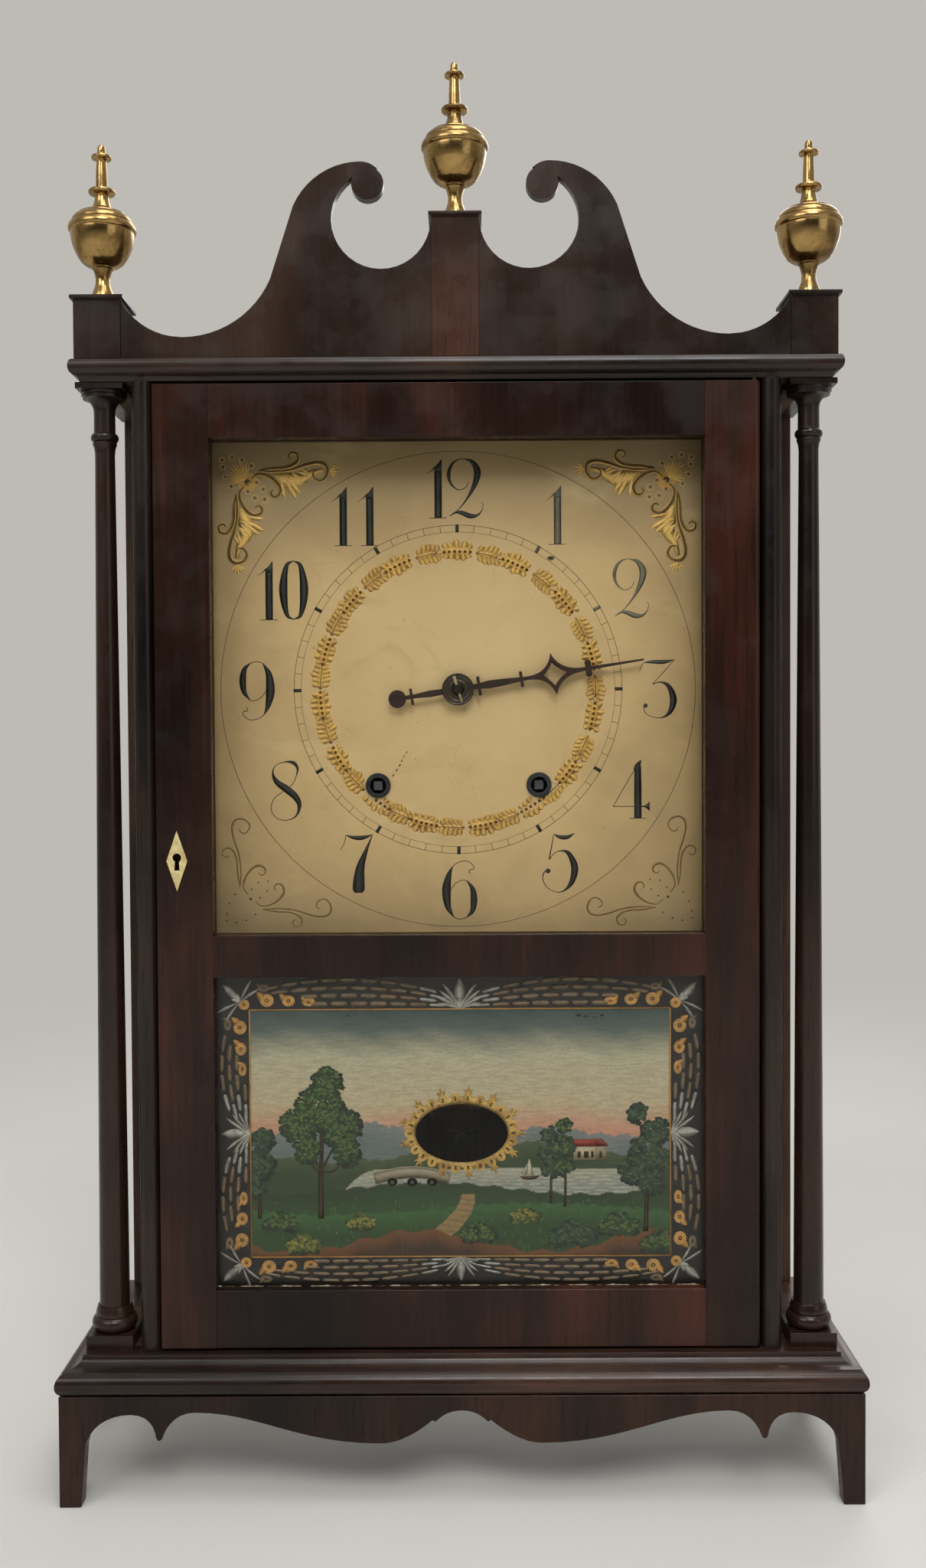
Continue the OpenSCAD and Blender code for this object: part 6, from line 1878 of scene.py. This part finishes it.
    def strokes(self, rows: list[tuple[Knots, float, np.ndarray]]) -> None:
        """Adds strokes of thin paint.

        Args:
            rows: for each stroke its knots, its depth behind the glass and its tint.
        """
        for knots, depth, tint in rows:
            self.motifs.append(stroke(np.array(knots, float), self.back + depth, self.paint).tinted(tint))

    def bridge(self) -> None:
        """Adds a low stone bridge: a humped road, half a sine high, over three round openings."""
        stone, shade = tones([(158, 148, 124), (74, 68, 56)])
        y = self.back + self.foot_at
        x = np.linspace(-48, -6, 24)
        hump = 172 + 3.4 * np.sin(np.pi * (x + 48) / 42)
        self.motifs.append(stroke(np.stack([x, hump, np.full_like(x, 3.0)], 1), y, self.paint).tinted(stone))
        rail = np.stack([x, hump + 3.2, np.full_like(x, 0.45)], 1)
        self.motifs.append(stroke(rail, y - 0.03, self.paint).tinted(stone * 1.15))
        for middle in (-38, -27, -16):
            opening = [(0, 0), (2.9, 0.002), (2.6, 0.02), (0, 0.02)]
            self.motifs.append(turned(opening, (middle, y - 0.03, 170.2), 16, squash=(1, 0.85)).tinted(shade))

    def barn(self, x: float, z: float) -> None:
        """Adds a small cream barn with a red roof and dark openings.

        Args:
            x: its middle.
            z: its foot.
        """
        wall, side, roof, dark = tones([(206, 192, 158), (168, 152, 120), (168, 62, 44), (48, 38, 30)])
        near = self.scenery_at
        openings = [([(x + dx, z + 1.4, half), (x + dx, z + 5, half)], near - 0.03, dark)
                    for dx, half in ((-6, 0.9), (-2, 1.3), (1.4, 0.7), (6, 0.8))]
        self.strokes([
            ([(x - 9, z + 4, 4.0), (x + 3, z + 4, 4.0)], near, wall),
            ([(x + 3, z + 4, 4.0), (x + 9, z + 4, 4.0)], near, side),
            ([(x - 10, z + 9.6, 2.1), (x + 3, z + 9.8, 2.1)], near - 0.02, roof),
            ([(x + 3, z + 9.8, 2.1), (x + 6, z + 9.9, 2.2), (x + 10, z + 8.2, 0.4)], near - 0.02, roof * 0.7),
            *openings])

    def boat(self, x: float, z: float) -> None:
        """Adds a sailing boat on the lake: a dark hull, two pale sails and its light on the water.

        Args:
            x: its middle.
            z: the height of the water.
        """
        hull, sail = tones([(74, 46, 30), (226, 216, 186)])
        line = flowing([(x - 5, z + 1.2, 0.1), (x - 2, z + 0.3, 0.9), (x + 3, z + 0.4, 0.9), (x + 6, z + 1.6, 0.1)])
        near = self.boat_at
        self.strokes([
            (line, near, hull),
            ([(x + 0.6, z + 1.6, 2.4), (x + 0.4, z + 6, 1.2), (x + 0.2, z + 11, 0.05)], near, sail),
            ([(x - 2.8, z + 1.6, 1.0), (x - 1.8, z + 5, 0.5), (x - 0.6, z + 9, 0.05)], near, sail * 0.85),
            ([(x - 4, z - 1.2, 0.3), (x + 4, z - 1.2, 0.3)], near, sail * 0.8)])

    def window(self) -> None:
        """The gilt rim of the oval window: a flat band, scallops round it, and small leaf sprays outside."""
        cx, cz = self.oval_centre
        a, b = self.oval
        face = self.back + self.rim_at
        middle = a + self.band_out, b + self.band_out
        band = [stroke(ring_line(self.oval_centre, middle, self.band_half, 120), face, 0.08, True)]
        dots = []
        for k in range(self.scallops):
            t = 2 * np.pi * k / self.scallops
            out = np.array([b * math.cos(t), a * math.sin(t)])
            out /= np.linalg.norm(out)
            place = np.array([cx + (a + self.scallop_out) * math.cos(t), cz + (b + self.scallop_out) * math.sin(t)])
            band.append(bead(place[0], place[1], self.scallop, face - 0.02, 0.16, 14))
            dots.append(bead(place[0] - out[0] * 1.2, place[1] - out[1] * 1.2, 0.62, face - 0.16, 0.1, 8))
            if k % 2 == 0:
                heading = math.degrees(math.atan2(out[1], out[0]))
                for lean in (-34, 0, 34):
                    band.append(blade(place + out * 1.4, heading + lean, 5.4 if lean == 0 else 4.2, 1.5, face, 0.1))
        piece("window_rim", joined(band), RIM_GOLD, "door")
        piece("window_rim_dots", joined(dots), BLACK_GROUND, "door")

    def edges(self) -> None:
        """The gold line round the picture and a few flecks where paint is lost from the sky."""
        x0, z0, x1, z1 = self.picture
        corners = [(x0, z0), (x1, z0), (x1, z1), (x0, z1), (x0, z0)]
        face = self.back + self.line_at
        lines = [stroke(np.array([[*p, 0.42], [*q, 0.42]], float), face, 0.05)
                 for p, q in zip(corners, corners[1:])]
        piece("picture_line", joined(lines), LEAF_GOLD, "door")
        spots = ((-62, 263.5, 0.9), (-58, 264, 0.5), (66, 263, 1.5), (70, 262.4, 1.2), (75, 262, 0.8),
                 (79, 263, 1.3), (-18, 262, 0.5))
        dark = tones([(20, 16, 14)])[0]
        flecks = [self.dab(x, z, size, self.back + self.flecks_at, dark, 0.5) for x, z, size in spots]
        piece("lost_flecks", joined(flecks), BLACK_GROUND, "door")

    def make(self) -> None:
        """Makes the tablet's painted layers, from the glass backwards."""
        self.ground()
        Border(self.picture, self.sight, self.back + self.border_at).make()
        self.sheet()
        self.scenery()
        self.window()
        self.edges()


@dataclass
class Movement:
    """The wooden movement, its cords and weights, the pendulum and the bell."""

    frame: Frame

    def make(self) -> None:
        """Finishes the movement and all that hangs from it."""
        dress = self.frame.dress
        self.frame.ease(["front_plate", "back_plate"], PLATE_WOOD, 0.5)
        dress(["plate_pillars", "time_great_wheel", "strike_great_wheel", "third_wheel", "pin_wheel", "count_wheel",
               "minute_wheel", "hour_wheel", "escape_wheel", "pulley_time", "pulley_strike"], CHERRY)
        dress(["time_drum", "strike_drum"], IronNosed(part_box("front_plate")[0][1]))
        low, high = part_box("dial_board")
        dress(["centre_arbor"], PinnedIron((low[2] + high[2]) / 2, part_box("minute_hand")[0][1] - 0.0006))
        dress(["verge", "suspension_cock", "fly", "strike_lever", "hammer", "time_weight", "strike_weight"], IRON)
        dress(["pendulum"], PLAIN_BRASS)
        dress(["bell"], BELL_BRASS)
        dress(["cord_runs"], Twine())
        for train in ("time", "strike"):
            self.fall(train)

    def fall(self, train: str) -> None:
        """The straight cord from a pulley to its weight, in place of the imported drop, which is hidden.

        Args:
            train: "time" or "strike", as the names of the cord and of its weight's joint begin.
        """
        low, high = (np.array(c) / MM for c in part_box(f"{train}_cord_drop"))
        middle, radius = (low + high) / 2, (high[0] - low[0]) / 2
        profile = [(0, low[2]), (radius, low[2]), (radius, high[2]), (0, high[2])]
        tube = turned(profile, (middle[0], middle[1], 0), 20, Axis.UP)
        made = piece(f"{train}_cord_fall", tube, Twine(), "case")
        slide = next(j for j in self.frame.record["behaviour"]["joints"] if j["name"] == f"{train}_weight_slide")
        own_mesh(made)
        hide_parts(f"{train}_cord_drop")


def main() -> None:
    """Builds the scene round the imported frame, piece by piece."""
    logging.basicConfig(level=logging.INFO, format="%(name)s: %(message)s")
    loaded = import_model()
    frame = Frame(loaded["nodes"], loaded["record"])
    Viewpoint().make()
    Studio().make()
    CaseWork(frame).make()
    Finials(frame).make()
    Door(frame).make()
    Dial(frame).make()
    Tablet(frame).make()
    Movement(frame).make()
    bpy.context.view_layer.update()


if __name__ == "__main__":
    main()
